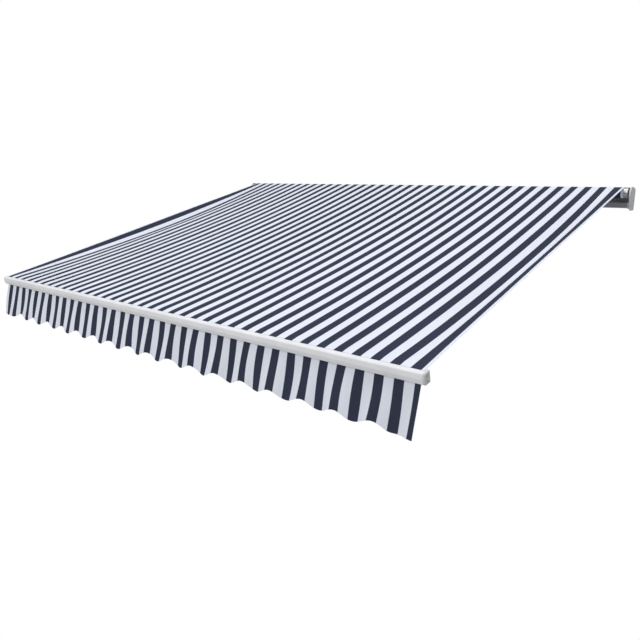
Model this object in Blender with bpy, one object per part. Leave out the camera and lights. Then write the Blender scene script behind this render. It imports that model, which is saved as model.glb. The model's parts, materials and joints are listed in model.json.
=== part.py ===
"""Retractable folding-arm awning, let out, made for a wall.

World axes: +X runs along the wall to the right seen from the front, +Y points into the wall, +Z up.
The wall is the plane y = 0, and z = 0 is the height of the torsion bar's middle.
"""

import math

import bmesh
import bpy
from mathutils import Matrix, Vector

# Driving dimensions, in metres unless the name says degrees
SEAT_GAP = 0.0003
RUNNING_GAP = 0.0003

FRONT_BAR_LENGTH = 3.900
FABRIC_WIDTH = 3.870
FABRIC_PITCH_DEGREES = 14.2
CANOPY_LENGTH = 2.950
CANOPY_SAG = 0.034
CANOPY_THICKNESS = 0.0010
CANOPY_ROWS = 12
STRIPE_PITCH = 0.1053

VALANCE_WIDTH = 3.816
VALANCE_DROP = 0.232
VALANCE_THICKNESS = 0.0010
VALANCE_WAVE_DEPTH = 0.036
VALANCE_RIPPLE = 0.011
VALANCE_LEAN = 0.055
VALANCE_ROWS = 5
VALANCE_STEPS_PER_PITCH = 4

TORSION_BAR_SIDE = 0.040
TORSION_BAR_WALL = 0.003
TORSION_BAR_CORNER = 0.005
TORSION_BAR_LENGTH = 3.990
TORSION_BAR_REACH = 0.055

ROLLER_RADIUS = 0.039
ROLLER_WALL = 0.0015
ROLLER_LEFT_END = 1.948
ROLLER_RIGHT_END = 1.976
ROLLER_REACH = 0.105
ROLLER_RISE = 0.095
ROLL_THICKNESS = 0.0012

KEDER_RADIUS = 0.0030
KEDER_BORE_RADIUS = 0.0038
KEDER_SLOT_WIDTH = 0.0028
KEDER_DEPTH = 0.0062

SIDE_PLATE_THICKNESS = 0.005
SIDE_PLATE_MARGIN = 0.0035
SIDE_PLATE_WALL_GAP = 0.012
SIDE_PLATE_BOTTOM = 0.016
SIDE_PLATE_RIM = 0.006
SIDE_PLATE_RIM_DEPTH = 0.006
SOCKET_DEPTH = 0.025
SOCKET_WALL = 0.004

BEARING_BORE_RADIUS = 0.0083
BEARING_RADIUS = 0.0117
BEARING_FLANGE_RADIUS = 0.0160
BEARING_FLANGE = 0.0028
BEARING_BOSS_DEPTH = 0.008
BEARING_BOSS_WALL = 0.0060
ROLLER_PIN_RADIUS = 0.0080
DRIVE_STUB_RADIUS = 0.0100
CAP_FLANGE = 0.0030
CAP_PLUG_DEPTH = 0.030

GEARBOX_RADIUS = 0.031
GEARBOX_WIDTH = 0.033
GEARBOX_PAD_RADIUS = 0.024
WORM_OFFSET = 0.030
CRANK_LEAN_DEGREES = 20.0
CRANK_SNOUT_RADIUS = 0.0125
CRANK_SNOUT_END = 0.048
CRANK_SHAFT_RADIUS = 0.0060
CRANK_SHAFT_LENGTH = 0.062
CRANK_LOOP_RADIUS = 0.0170
CRANK_WIRE_RADIUS = 0.0040

WALL_BRACKET_INSET = 0.110
WALL_PLATE_WIDTH = 0.130
WALL_PLATE_HEIGHT = 0.150
WALL_PLATE_THICKNESS = 0.008
WALL_SLOT_SPACING_X = 0.090
WALL_SLOT_SPACING_Z = 0.110
WALL_SLOT_LENGTH = 0.024
WALL_SLOT_WIDTH = 0.011
JAW_WIDTH = 0.060
JAW_WALL = 0.010
JAW_LIP = 0.014
KEEPER_THICKNESS = 0.009
KEEPER_BOLT_RADIUS = 0.0050
KEEPER_BOLT_LENGTH = 0.036
SET_SCREW_RADIUS = 0.0050

ARM_SPACING = 1.700
ARM_REST_DEGREES = 14.666031
TILT_AXIS_REACH = 0.110
TILT_AXIS_DROP = 0.015
TILT_UP_DEGREES = 9.0
TILT_DOWN_DEGREES = 20.0
SHOULDER_OFFSET = 0.066
WRIST_OFFSET = 0.060
WRIST_DROP = 0.004

BRACKET_WALL = 0.010
CHEEK_RADIUS = 0.037
CHEEK_THICKNESS = 0.010
SHOULDER_WIDTH = 0.050
SHOULDER_HEIGHT = 0.048
SHOULDER_EYE_RADIUS = 0.016
LOCK_BOLT_RADIUS = 0.0040
LOCK_BOLT_OFFSET = 0.026
TILT_BOLT_RADIUS = 0.0060

TONGUE_HEIGHT = 0.0274
FORK_SLOT = 0.0280
PIN_RADIUS = 0.0070
KNUCKLE_RADIUS = 0.020
EAR_MARGIN = 0.002

REAR_TUBE_HEIGHT = 0.056
REAR_TUBE_WIDTH = 0.038
REAR_TUBE_CORNER = 0.010
REAR_TUBE_WALL = 0.0025
REAR_ELBOW_OFFSET = 0.022
FRONT_TUBE_HEIGHT = 0.044
FRONT_TUBE_WIDTH = 0.030
FRONT_TUBE_CORNER = 0.009
FRONT_TUBE_WALL = 0.0022
FRONT_ELBOW_OFFSET = 0.020
KNUCKLE_BODY_START = 0.030
KNUCKLE_BODY_END = 0.062
SPIGOT_LENGTH = 0.040

CABLE_RADIUS = 0.0020
CABLE_DRUM_RADIUS = 0.0180
CABLE_CHANNEL_RADIUS = 0.0025
CABLE_START = 0.160
CABLE_ANCHOR = 0.044
SPRING_RADIUS = 0.0092
SPRING_WIRE_RADIUS = 0.0018
SPRING_TURNS = 24
SPRING_STEPS_PER_TURN = 8
SPRING_HOOK = 0.014

FRONT_BAR_DEPTH = 0.050
FRONT_BAR_HEIGHT = 0.058
FRONT_BAR_WALL = 0.0022
FRONT_BAR_BOW = 0.004
FRONT_BAR_CORNER = 0.010
FRONT_BAR_REAR_CORNER = 0.003
CANOPY_GROOVE_BACK = 0.008
VALANCE_GROOVE_FORWARD = 0.008
GROOVE_ZONE = 0.0135
FRONT_CAP_THICKNESS = 0.010
FRONT_CAP_SPIGOT = 0.020

CONNECTOR_WIDTH = 0.070
CONNECTOR_PLATE = 0.008
CONNECTOR_HEIGHT = 0.048
CONNECTOR_EAR_HEIGHT = 0.046

ROUND_STEPS = 20
ROLL_SIDES = 24
CORNER_STEPS = 4


# Outlines, as lists of points
def arc(centre, radius, start_degrees, end_degrees, steps):
    """Points on an arc, both ends included."""
    points = []
    for index in range(steps + 1):
        angle = math.radians(start_degrees + (end_degrees - start_degrees) * index / steps)
        points.append((centre[0] + radius * math.cos(angle), centre[1] + radius * math.sin(angle)))
    return points


def circle(centre, radius, steps=ROUND_STEPS):
    """A closed ring of points."""
    return arc(centre, radius, 0.0, 360.0 - 360.0 / steps, steps - 1)


def rectangle(left, right, bottom, top):
    """The four corners of a box, counter-clockwise."""
    return [(left, bottom), (right, bottom), (right, top), (left, top)]


def rounded_rectangle(centre, width, height, corner):
    """A box with round corners, counter-clockwise."""
    points = []
    half_width = width / 2.0 - corner
    half_height = height / 2.0 - corner
    for side_x, side_y, start in ((1, 1, 0.0), (-1, 1, 90.0), (-1, -1, 180.0), (1, -1, 270.0)):
        middle = (centre[0] + side_x * half_width, centre[1] + side_y * half_height)
        points += arc(middle, corner, start, start + 90.0, CORNER_STEPS)
    return points


def slot_outline(centre, length, width):
    """A slot that runs along the first axis, with round ends."""
    reach = (length - width) / 2.0
    right = arc((centre[0] + reach, centre[1]), width / 2.0, -90.0, 90.0, 6)
    left = arc((centre[0] - reach, centre[1]), width / 2.0, 90.0, 270.0, 6)
    return right + left


def curved_slot(centre, radius, width, start_degrees, end_degrees):
    """A slot along an arc, with round ends."""
    start = math.radians(start_degrees)
    end = math.radians(end_degrees)
    start_middle = (centre[0] + radius * math.cos(start), centre[1] + radius * math.sin(start))
    end_middle = (centre[0] + radius * math.cos(end), centre[1] + radius * math.sin(end))
    outer = arc(centre, radius + width / 2.0, start_degrees, end_degrees, 8)
    far_end = arc(end_middle, width / 2.0, end_degrees, end_degrees + 180.0, 6)[1:-1]
    inner = arc(centre, radius - width / 2.0, end_degrees, start_degrees, 8)
    near_end = arc(start_middle, width / 2.0, start_degrees + 180.0, start_degrees + 360.0, 6)[1:-1]
    return outer + far_end + inner + near_end


def keder_notch(mouth, inward):
    """The points of a keder groove that opens at mouth, from its left lip to its right lip.

    inward is the unit direction from the mouth into the material, and left is to the left of inward.
    """
    across = (-inward[1], inward[0])
    half_slot = KEDER_SLOT_WIDTH / 2.0
    opening = math.degrees(math.asin(half_slot / KEDER_BORE_RADIUS))
    back = math.degrees(math.atan2(-inward[1], -inward[0]))
    bore = (mouth[0] + inward[0] * KEDER_DEPTH, mouth[1] + inward[1] * KEDER_DEPTH)
    left = (mouth[0] + across[0] * half_slot, mouth[1] + across[1] * half_slot)
    right = (mouth[0] - across[0] * half_slot, mouth[1] - across[1] * half_slot)
    round_part = arc(bore, KEDER_BORE_RADIUS, back - opening, back + opening - 360.0, 12)
    return [left] + round_part + [right]


def mirrored_outline(points, side):
    """The outline with its second axis turned over for the left side, where side is -1."""
    return [(first, second * side) for first, second in points]


# Meshes
PLAN = Matrix.Identity(4)
SIDEWAYS = Matrix(((0, 0, 1, 0), (1, 0, 0, 0), (0, 1, 0, 0), (0, 0, 0, 1)))
UPRIGHT = Matrix(((1, 0, 0, 0), (0, 0, -1, 0), (0, 1, 0, 0), (0, 0, 0, 1)))


def finished(shape, name="piece"):
    """Turn an edited shape into a mesh with its faces outwards."""
    bmesh.ops.recalc_face_normals(shape, faces=shape.faces)
    mesh = bpy.data.meshes.new(name)
    shape.to_mesh(mesh)
    shape.free()
    return mesh


def prism(loops, low, high, frame=PLAN):
    """Extrude the first loop from low to high, with the other loops as holes through it."""
    shape = bmesh.new()
    edges = []
    for loop in loops:
        corners = [shape.verts.new(frame @ Vector((first, second, low))) for first, second in loop]
        edges += [shape.edges.new((corner, corners[index - 1])) for index, corner in enumerate(corners)]
    filled = bmesh.ops.triangle_fill(shape, use_beauty=True, use_dissolve=False, edges=edges)
    faces = [item for item in filled["geom"] if isinstance(item, bmesh.types.BMFace)]
    pushed = bmesh.ops.extrude_face_region(shape, geom=faces)
    moved = [item for item in pushed["geom"] if isinstance(item, bmesh.types.BMVert)]
    bmesh.ops.translate(shape, verts=moved, vec=frame.to_3x3() @ Vector((0.0, 0.0, high - low)))
    return finished(shape)


def loft(rings, looped=False, slots=None):
    """Join rings of as many points each by faces, with both ends capped, or looped back on the first."""
    shape = bmesh.new()
    corners = [[shape.verts.new(point) for point in ring] for ring in rings]
    count = len(rings[0])
    last = len(rings) if looped else len(rings) - 1
    for index in range(last):
        near = corners[index]
        far = corners[(index + 1) % len(rings)]
        for step in range(count):
            following = (step + 1) % count
            face = shape.faces.new((near[step], near[following], far[following], far[step]))
            if slots:
                face.material_index = slots[index]
    if not looped:
        shape.faces.new(corners[0])
        shape.faces.new(corners[-1])
    return finished(shape)


def turned(profile, frame=PLAN, steps=ROUND_STEPS, closed=False):
    """Spin a profile of (radius, height) points about the frame's third axis."""
    shape = bmesh.new()
    corners = [shape.verts.new((radius, 0.0, height)) for radius, height in profile]
    edges = [shape.edges.new(pair) for pair in zip(corners, corners[1:])]
    if closed:
        edges.append(shape.edges.new((corners[-1], corners[0])))
    bmesh.ops.spin(
        shape,
        geom=corners + edges,
        cent=(0.0, 0.0, 0.0),
        axis=(0.0, 0.0, 1.0),
        angle=math.tau,
        steps=steps,
    )
    bmesh.ops.remove_doubles(shape, verts=shape.verts, dist=1e-6)
    bmesh.ops.transform(shape, matrix=frame, verts=shape.verts)
    return finished(shape)


def boolean(first, second, operation):
    """Combine two closed meshes into a new one."""
    keeper = bpy.data.objects.new("first", first)
    tool = bpy.data.objects.new("second", second)
    for helper in (keeper, tool):
        bpy.context.scene.collection.objects.link(helper)
    modifier = keeper.modifiers.new("combine", "BOOLEAN")
    modifier.operation = operation
    modifier.solver = "EXACT"
    modifier.object = tool
    graph = bpy.context.evaluated_depsgraph_get()
    result = bpy.data.meshes.new_from_object(keeper.evaluated_get(graph))
    for helper in (keeper, tool):
        bpy.data.objects.remove(helper)
    return result


def joined(meshes):
    """The union of meshes that reach into each other."""
    result = meshes[0]
    for mesh in meshes[1:]:
        result = boolean(result, mesh, "UNION")
    return result


def common(first, second):
    """What two meshes share."""
    return boolean(first, second, "INTERSECT")


def cut(mesh, tools):
    """The mesh less each tool."""
    for tool in tools:
        mesh = boolean(mesh, tool, "DIFFERENCE")
    return mesh


def placed(mesh, frame):
    """A copy of the mesh moved by a frame."""
    copy = mesh.copy()
    copy.transform(frame)
    if frame.determinant() < 0.0:
        copy.flip_normals()
    return copy


def hex_ring(radius, height):
    """Twelve points round a hexagon: its corners and the middles of its sides."""
    points = []
    for step in range(12):
        reach = radius if step % 2 == 0 else radius * math.cos(math.radians(30.0))
        angle = math.radians(30.0 * step)
        points.append(Vector((reach * math.cos(angle), reach * math.sin(angle), height)))
    return points


def round_ring(radius, height, steps=12):
    """Points round a circle."""
    return [Vector((first, second, height)) for first, second in circle((0.0, 0.0), radius, steps)]


def bolt(shank_radius, length, frame, nut=False):
    """A hexagon bolt whose head sits on the frame's origin and whose shank runs down its third axis."""
    head_radius = shank_radius * 1.85
    head_height = shank_radius * 1.3
    rings = [
        hex_ring(head_radius, head_height),
        hex_ring(head_radius, 0.0),
        round_ring(shank_radius, 0.0),
    ]
    if nut:
        rings += [
            round_ring(shank_radius, -length),
            hex_ring(head_radius, -length),
            hex_ring(head_radius, -length - head_height),
        ]
    else:
        rings.append(round_ring(shank_radius, -length))
    return placed(loft(rings), frame)


def swept(path, radius, sides):
    """A round rod along a path of points."""
    points = [Vector(point) for point in path]
    normal = None
    rings = []
    for index, point in enumerate(points):
        before = points[max(index - 1, 0)]
        after = points[min(index + 1, len(points) - 1)]
        along = (after - before).normalized()
        if normal is None:
            normal = along.orthogonal()
        normal = (normal - along * normal.dot(along)).normalized()
        across = along.cross(normal)
        ring = []
        for first, second in circle((0.0, 0.0), radius, sides):
            ring.append(point + normal * first + across * second)
        rings.append(ring)
    return loft(rings)


def pin(radius, head_radius, head_height, low, high):
    """A pin along Z with a head on top and a retaining ring below."""
    return turned(
        [
            (0.0, high + head_height),
            (head_radius, high + head_height),
            (head_radius, high),
            (radius, high),
            (radius, low),
            (head_radius, low),
            (head_radius, low - head_height),
            (0.0, low - head_height),
        ]
    )


# Places, worked out from the driving dimensions
def direction(degrees):
    """The unit vector in the y-z plane that points forward and down by this angle."""
    return (-math.cos(math.radians(degrees)), -math.sin(math.radians(degrees)))


FABRIC_HALF = FABRIC_WIDTH / 2.0
ROLL_RADIUS = ROLLER_RADIUS + SEAT_GAP + ROLL_THICKNESS
ROLLER_CENTRE = (-ROLLER_REACH, ROLLER_RISE)
SAG_SLOPE_DEGREES = math.degrees(4.0 * CANOPY_SAG / CANOPY_LENGTH)
LEAVING_DEGREES = FABRIC_PITCH_DEGREES + SAG_SLOPE_DEGREES
LEAVING = direction(LEAVING_DEGREES)
ALONG_CANOPY = direction(FABRIC_PITCH_DEGREES)
CANOPY_REAR = (
    ROLLER_CENTRE[0] + (ROLL_RADIUS + SEAT_GAP) * LEAVING[1],
    ROLLER_CENTRE[1] - (ROLL_RADIUS + SEAT_GAP) * LEAVING[0],
)
CANOPY_FRONT = (
    CANOPY_REAR[0] + CANOPY_LENGTH * ALONG_CANOPY[0],
    CANOPY_REAR[1] + CANOPY_LENGTH * ALONG_CANOPY[1],
)
TILT_AXIS = (-TILT_AXIS_REACH, -TILT_AXIS_DROP)


def leaning(point, lean):
    """A point of the front bar's section, turned with the bar."""
    return (
        point[0] * math.cos(lean) - point[1] * math.sin(lean),
        point[0] * math.sin(lean) + point[1] * math.cos(lean),
    )


def bar_and_wrist(lean):
    """Where the front bar's middle and the wrists lie when the bar leans by this angle."""
    groove = leaning((CANOPY_GROOVE_BACK, FRONT_BAR_HEIGHT / 2.0 + 2.0 * SEAT_GAP), lean)
    bar = (CANOPY_FRONT[0] - groove[0], CANOPY_FRONT[1] - groove[1])
    offset = leaning((WRIST_OFFSET, -WRIST_DROP), lean)
    return bar, (bar[0] + offset[0], bar[1] + offset[1])


# The bar leans with the arms' plane, which runs through the wrists on the bar: repeating finds both
ARM_PITCH = math.radians(FABRIC_PITCH_DEGREES)
for _ in range(12):
    FRONT_BAR_CENTRE, WRIST = bar_and_wrist(ARM_PITCH)
    ARM_PITCH = math.atan2(TILT_AXIS[1] - WRIST[1], TILT_AXIS[0] - WRIST[0])
ARM_FORWARD = (-math.cos(ARM_PITCH), -math.sin(ARM_PITCH))
ARM_REACH = math.hypot(TILT_AXIS[1] - WRIST[1], TILT_AXIS[0] - WRIST[0]) - SHOULDER_OFFSET
SHOULDER = (
    TILT_AXIS[0] + SHOULDER_OFFSET * ARM_FORWARD[0],
    TILT_AXIS[1] + SHOULDER_OFFSET * ARM_FORWARD[1],
)
REST_ANGLE = math.radians(ARM_REST_DEGREES)
ARM_LENGTH = ARM_REACH / (2.0 * math.cos(REST_ANGLE))
ELBOW_INBOARD = ARM_LENGTH * math.sin(REST_ANGLE)
ELBOW = (
    SHOULDER[0] + ARM_FORWARD[0] * ARM_REACH / 2.0,
    SHOULDER[1] + ARM_FORWARD[1] * ARM_REACH / 2.0,
)
CRANK_DOWN = (-math.sin(math.radians(CRANK_LEAN_DEGREES)), -math.cos(math.radians(CRANK_LEAN_DEGREES)))
TORSION_BAR_CENTRE = (-TORSION_BAR_REACH, 0.0)
WALL_BRACKET_SPACING = ARM_SPACING - WALL_BRACKET_INSET
PLATE_INNER_X = TORSION_BAR_LENGTH / 2.0 + SEAT_GAP


def arm_plane(place, side_x):
    """The frame at a point of the arms' plane: X forward, Y along the wall, Z up from the plane."""
    forward = Vector((0.0, ARM_FORWARD[0], ARM_FORWARD[1]))
    sideways = Vector((1.0, 0.0, 0.0))
    up = forward.cross(sideways)
    frame = Matrix((forward, sideways, up)).transposed().to_4x4()
    frame.translation = Vector((side_x, place[0], place[1]))
    return frame


# Materials and the tree of axes
def material(name, colour, roughness, metallic=0.0):
    """A plain principled finish."""
    finish = bpy.data.materials.new(name)
    finish.use_nodes = True
    shader = finish.node_tree.nodes["Principled BSDF"]
    shader.inputs["Base Color"].default_value = (*colour, 1.0)
    shader.inputs["Roughness"].default_value = roughness
    shader.inputs["Metallic"].default_value = metallic
    return finish


def axis(name, frame, parent=None):
    """An empty on a joint's axis, which carries the pieces that turn about it."""
    holder = bpy.data.objects.new(name, None)
    bpy.context.scene.collection.objects.link(holder)
    holder["frame"] = [value for row in frame for value in row]
    holder.matrix_basis = frame
    if parent:
        holder.parent = parent
        holder.matrix_basis = world_frame(parent).inverted() @ frame
    return holder


def world_frame(holder):
    """The frame of an axis in world coordinates."""
    values = holder["frame"]
    return Matrix([values[index:index + 4] for index in range(0, 16, 4)])


def piece(name, mesh, finishes, carrier):
    """One named part of the awning, carried by an axis, with its mesh in the axis's own frame."""
    mesh.name = name
    mesh.materials.clear()
    for finish in finishes:
        mesh.materials.append(finish)
    mesh.shade_smooth()
    mesh.set_sharp_from_angle(angle=math.radians(35.0))
    part = bpy.data.objects.new(name, mesh)
    bpy.context.scene.collection.objects.link(part)
    part.parent = carrier
    return part


# The fixed pieces on the wall
def side_name(side):
    """left or right, seen from the front."""
    return "right" if side > 0 else "left"


def torsion_bar():
    """The square tube that carries everything."""
    outer = rounded_rectangle(TORSION_BAR_CENTRE, TORSION_BAR_SIDE, TORSION_BAR_SIDE, TORSION_BAR_CORNER)
    bore = TORSION_BAR_SIDE - 2.0 * TORSION_BAR_WALL
    inner = rounded_rectangle(TORSION_BAR_CENTRE, bore, bore, TORSION_BAR_CORNER - TORSION_BAR_WALL)
    return prism([outer, inner], -TORSION_BAR_LENGTH / 2.0, TORSION_BAR_LENGTH / 2.0, SIDEWAYS)


def wall_bracket(centre_x):
    """A base plate with four slots, and the jaw in which the torsion bar lies."""
    slots = []
    for side_x in (-1, 1):
        for side_z in (-1, 1):
            middle = (side_x * WALL_SLOT_SPACING_X / 2.0, side_z * WALL_SLOT_SPACING_Z / 2.0)
            slots.append(slot_outline(middle, WALL_SLOT_LENGTH, WALL_SLOT_WIDTH))
    outline = rounded_rectangle((0.0, 0.0), WALL_PLATE_WIDTH, WALL_PLATE_HEIGHT, 0.012)
    plate = prism([outline] + slots, 0.0, WALL_PLATE_THICKNESS, UPRIGHT)
    half = TORSION_BAR_SIDE / 2.0
    back = -TORSION_BAR_REACH + half + SEAT_GAP
    front = -TORSION_BAR_REACH - half - SEAT_GAP
    under = -half - SEAT_GAP
    root = -WALL_PLATE_THICKNESS / 2.0
    jaw_outline = [
        (root, half - SEAT_GAP),
        (back, half - SEAT_GAP),
        (back, under),
        (front, under),
        (front, under + JAW_LIP),
        (front - JAW_WALL, under + JAW_LIP - 0.004),
        (front - JAW_WALL, under - JAW_WALL / 2.0),
        (front - JAW_WALL / 2.0, under - JAW_WALL),
        (back, under - JAW_WALL - 0.004),
        (root, under - 2.0 * JAW_WALL),
    ]
    jaw = prism([jaw_outline], -JAW_WIDTH / 2.0, JAW_WIDTH / 2.0, SIDEWAYS)
    bore = KEEPER_BOLT_RADIUS + SEAT_GAP
    depth = KEEPER_BOLT_LENGTH - half
    hole = turned([(0.0, half), (bore, half), (bore, -depth), (0.0, -depth)], keeper_bolt_frame(0.0), 16)
    return placed(cut(joined([plate, jaw]), [hole]), Matrix.Translation((centre_x, 0.0, 0.0)))


def keeper_bolt_frame(centre_x):
    """Where the bolt of a keeper stands."""
    half = TORSION_BAR_SIDE / 2.0
    place_y = (-TORSION_BAR_REACH + half - WALL_PLATE_THICKNESS) / 2.0
    return Matrix.Translation((centre_x, place_y, 0.0))


def keeper(centre_x):
    """The plate that locks the bar into its jaw from above, with a hooked front edge."""
    half = TORSION_BAR_SIDE / 2.0
    back = -WALL_PLATE_THICKNESS - SEAT_GAP
    front = -TORSION_BAR_REACH - half - SEAT_GAP
    over = half + SEAT_GAP
    outline = [
        (back, over),
        (back, over + KEEPER_THICKNESS),
        (front, over + KEEPER_THICKNESS),
        (front - KEEPER_THICKNESS * 0.7, over + KEEPER_THICKNESS * 0.5),
        (front - KEEPER_THICKNESS * 0.7, over - 0.010),
        (front, over - 0.010),
        (front, over),
    ]
    body = prism([outline], -JAW_WIDTH / 2.0 + 0.002, JAW_WIDTH / 2.0 - 0.002, SIDEWAYS)
    bore = KEEPER_BOLT_RADIUS + SEAT_GAP
    above = over + 2.0 * KEEPER_THICKNESS
    hole = turned([(0.0, above), (bore, above), (bore, 0.0), (0.0, 0.0)], keeper_bolt_frame(0.0), 16)
    return placed(cut(body, [hole]), Matrix.Translation((centre_x, 0.0, 0.0)))


def keeper_bolt(centre_x):
    """The bolt that holds a keeper down."""
    top = TORSION_BAR_SIDE / 2.0 + SEAT_GAP + KEEPER_THICKNESS + SEAT_GAP
    frame = keeper_bolt_frame(centre_x) @ Matrix.Translation((0.0, 0.0, top))
    return bolt(KEEPER_BOLT_RADIUS, KEEPER_BOLT_LENGTH, frame)


def side_plate_outline(inset):
    """The side plate's outline in the y-z plane: round over the roller, with a narrower foot."""
    top_radius = ROLL_RADIUS + SIDE_PLATE_MARGIN - inset
    half = TORSION_BAR_SIDE / 2.0
    back = -SIDE_PLATE_WALL_GAP - inset
    front = ROLLER_CENTRE[0] - top_radius
    bottom = -half - SIDE_PLATE_BOTTOM + inset
    foot_front = -TORSION_BAR_REACH - half - 0.024 + inset
    crown = arc(ROLLER_CENTRE, top_radius, 75.0, 180.0, 12)
    shoulder = arc((back - 0.030, ROLLER_CENTRE[1] + 0.004), 0.030, 0.0, 65.0, 5)
    heel = arc((back - 0.012, bottom + 0.012), 0.012, -90.0, 0.0, 4)
    toe = arc((foot_front + 0.012, bottom + 0.012), 0.012, 180.0, 270.0, 4)
    return shoulder + crown + [(front, ROLLER_CENTRE[1] - 0.020)] + toe + heel


def side_plate(side):
    """The end plate with its rim, the socket for the torsion bar and the boss for the roller."""
    inner = PLATE_INNER_X
    outline = side_plate_outline(0.0)
    plate = prism([outline], inner, inner + SIDE_PLATE_THICKNESS, SIDEWAYS)
    rim = prism(
        [side_plate_outline(0.0003), side_plate_outline(SIDE_PLATE_RIM)],
        inner - SIDE_PLATE_RIM_DEPTH,
        inner + 0.001,
        SIDEWAYS,
    )
    fit = TORSION_BAR_SIDE + 2.0 * SEAT_GAP
    socket = prism(
        [
            rounded_rectangle(TORSION_BAR_CENTRE, fit + 2.0 * SOCKET_WALL, fit + 2.0 * SOCKET_WALL, 0.006),
            rounded_rectangle(TORSION_BAR_CENTRE, fit, fit, TORSION_BAR_CORNER),
        ],
        inner - SOCKET_DEPTH,
        inner + 0.002,
        SIDEWAYS,
    )
    shapes = [plate, rim, socket]
    if side > 0:
        boss = prism(
            [
                circle(ROLLER_CENTRE, BEARING_RADIUS + SEAT_GAP + BEARING_BOSS_WALL),
                circle(ROLLER_CENTRE, BEARING_RADIUS + SEAT_GAP),
            ],
            inner - BEARING_BOSS_DEPTH,
            inner + 0.003,
            SIDEWAYS,
        )
        shapes.append(boss)
    plate = joined(shapes)
    return plate if side > 0 else placed(plate, Matrix.Scale(-1.0, 4, (1.0, 0.0, 0.0)))


def idler_bearing():
    """The flanged bush in the right side plate, in which the roller's pin turns."""
    outer_end = PLATE_INNER_X - SEAT_GAP
    inner_end = PLATE_INNER_X - BEARING_BOSS_DEPTH - SEAT_GAP
    profile = [
        (BEARING_BORE_RADIUS, outer_end),
        (BEARING_RADIUS, outer_end),
        (BEARING_RADIUS, inner_end),
        (BEARING_FLANGE_RADIUS, inner_end),
        (BEARING_FLANGE_RADIUS, inner_end - BEARING_FLANGE),
        (BEARING_BORE_RADIUS, inner_end - BEARING_FLANGE),
    ]
    frame = Matrix.Translation((0.0, ROLLER_CENTRE[0], ROLLER_CENTRE[1])) @ SIDEWAYS
    return turned(profile, frame, closed=True)


def crank_top():
    """The point of the crank shaft's axis beside the roller's axis, in the y-z plane."""
    return (ROLLER_CENTRE[0] - WORM_OFFSET, ROLLER_CENTRE[1])


def crank_x():
    """The plane of the crank eye along the bar."""
    return -(PLATE_INNER_X - SIDE_PLATE_RIM_DEPTH - 2.0 * SEAT_GAP - GEARBOX_WIDTH / 2.0)


def crank_frame():
    """The crank shaft's frame, with its third axis down the shaft."""
    top = crank_top()
    down = Vector((0.0, CRANK_DOWN[0], CRANK_DOWN[1]))
    sideways = Vector((1.0, 0.0, 0.0))
    frame = Matrix((sideways, down.cross(sideways), down)).transposed().to_4x4()
    frame.translation = Vector((crank_x(), top[0], top[1]))
    return frame


def gearbox_housing():
    """The cast housing of the worm drive inside the left side plate, with a snout for the crank shaft."""
    left = crank_x() - GEARBOX_WIDTH / 2.0
    right = left + GEARBOX_WIDTH
    top = crank_top()
    outline = arc(ROLLER_CENTRE, GEARBOX_RADIUS, -100.0, 120.0, 18)
    outline += arc((top[0] - 0.002, top[1] + 0.010), 0.014, 120.0, 200.0, 6)
    outline += arc((top[0] - 0.004, top[1] - 0.020), 0.012, 190.0, 270.0, 5)
    body = prism([outline], left, right, SIDEWAYS)
    snout = turned(
        [
            (0.0, 0.010),
            (CRANK_SNOUT_RADIUS, 0.010),
            (CRANK_SNOUT_RADIUS, CRANK_SNOUT_END - 0.004),
            (CRANK_SNOUT_RADIUS - 0.003, CRANK_SNOUT_END),
            (0.0, CRANK_SNOUT_END),
        ],
        crank_frame(),
    )
    bore = CRANK_SHAFT_RADIUS + RUNNING_GAP
    shaft_bore = turned([(0.0, -0.002), (bore, -0.002), (bore, 0.080), (0.0, 0.080)], crank_frame())
    stub = DRIVE_STUB_RADIUS + RUNNING_GAP
    drive_bore = prism([circle(ROLLER_CENTRE, stub)], left + 0.004, right + 0.010, SIDEWAYS)
    pad = prism([circle(ROLLER_CENTRE, GEARBOX_PAD_RADIUS)], SEAT_GAP - PLATE_INNER_X, left + 0.003, SIDEWAYS)
    rib = prism([circle(ROLLER_CENTRE, GEARBOX_RADIUS - 0.007), circle(ROLLER_CENTRE, 0.0150)],
                right - 0.0015, right + 0.0020, SIDEWAYS)
    return cut(joined([body, snout, rib, pad]), [shaft_bore, drive_bore])


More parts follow.
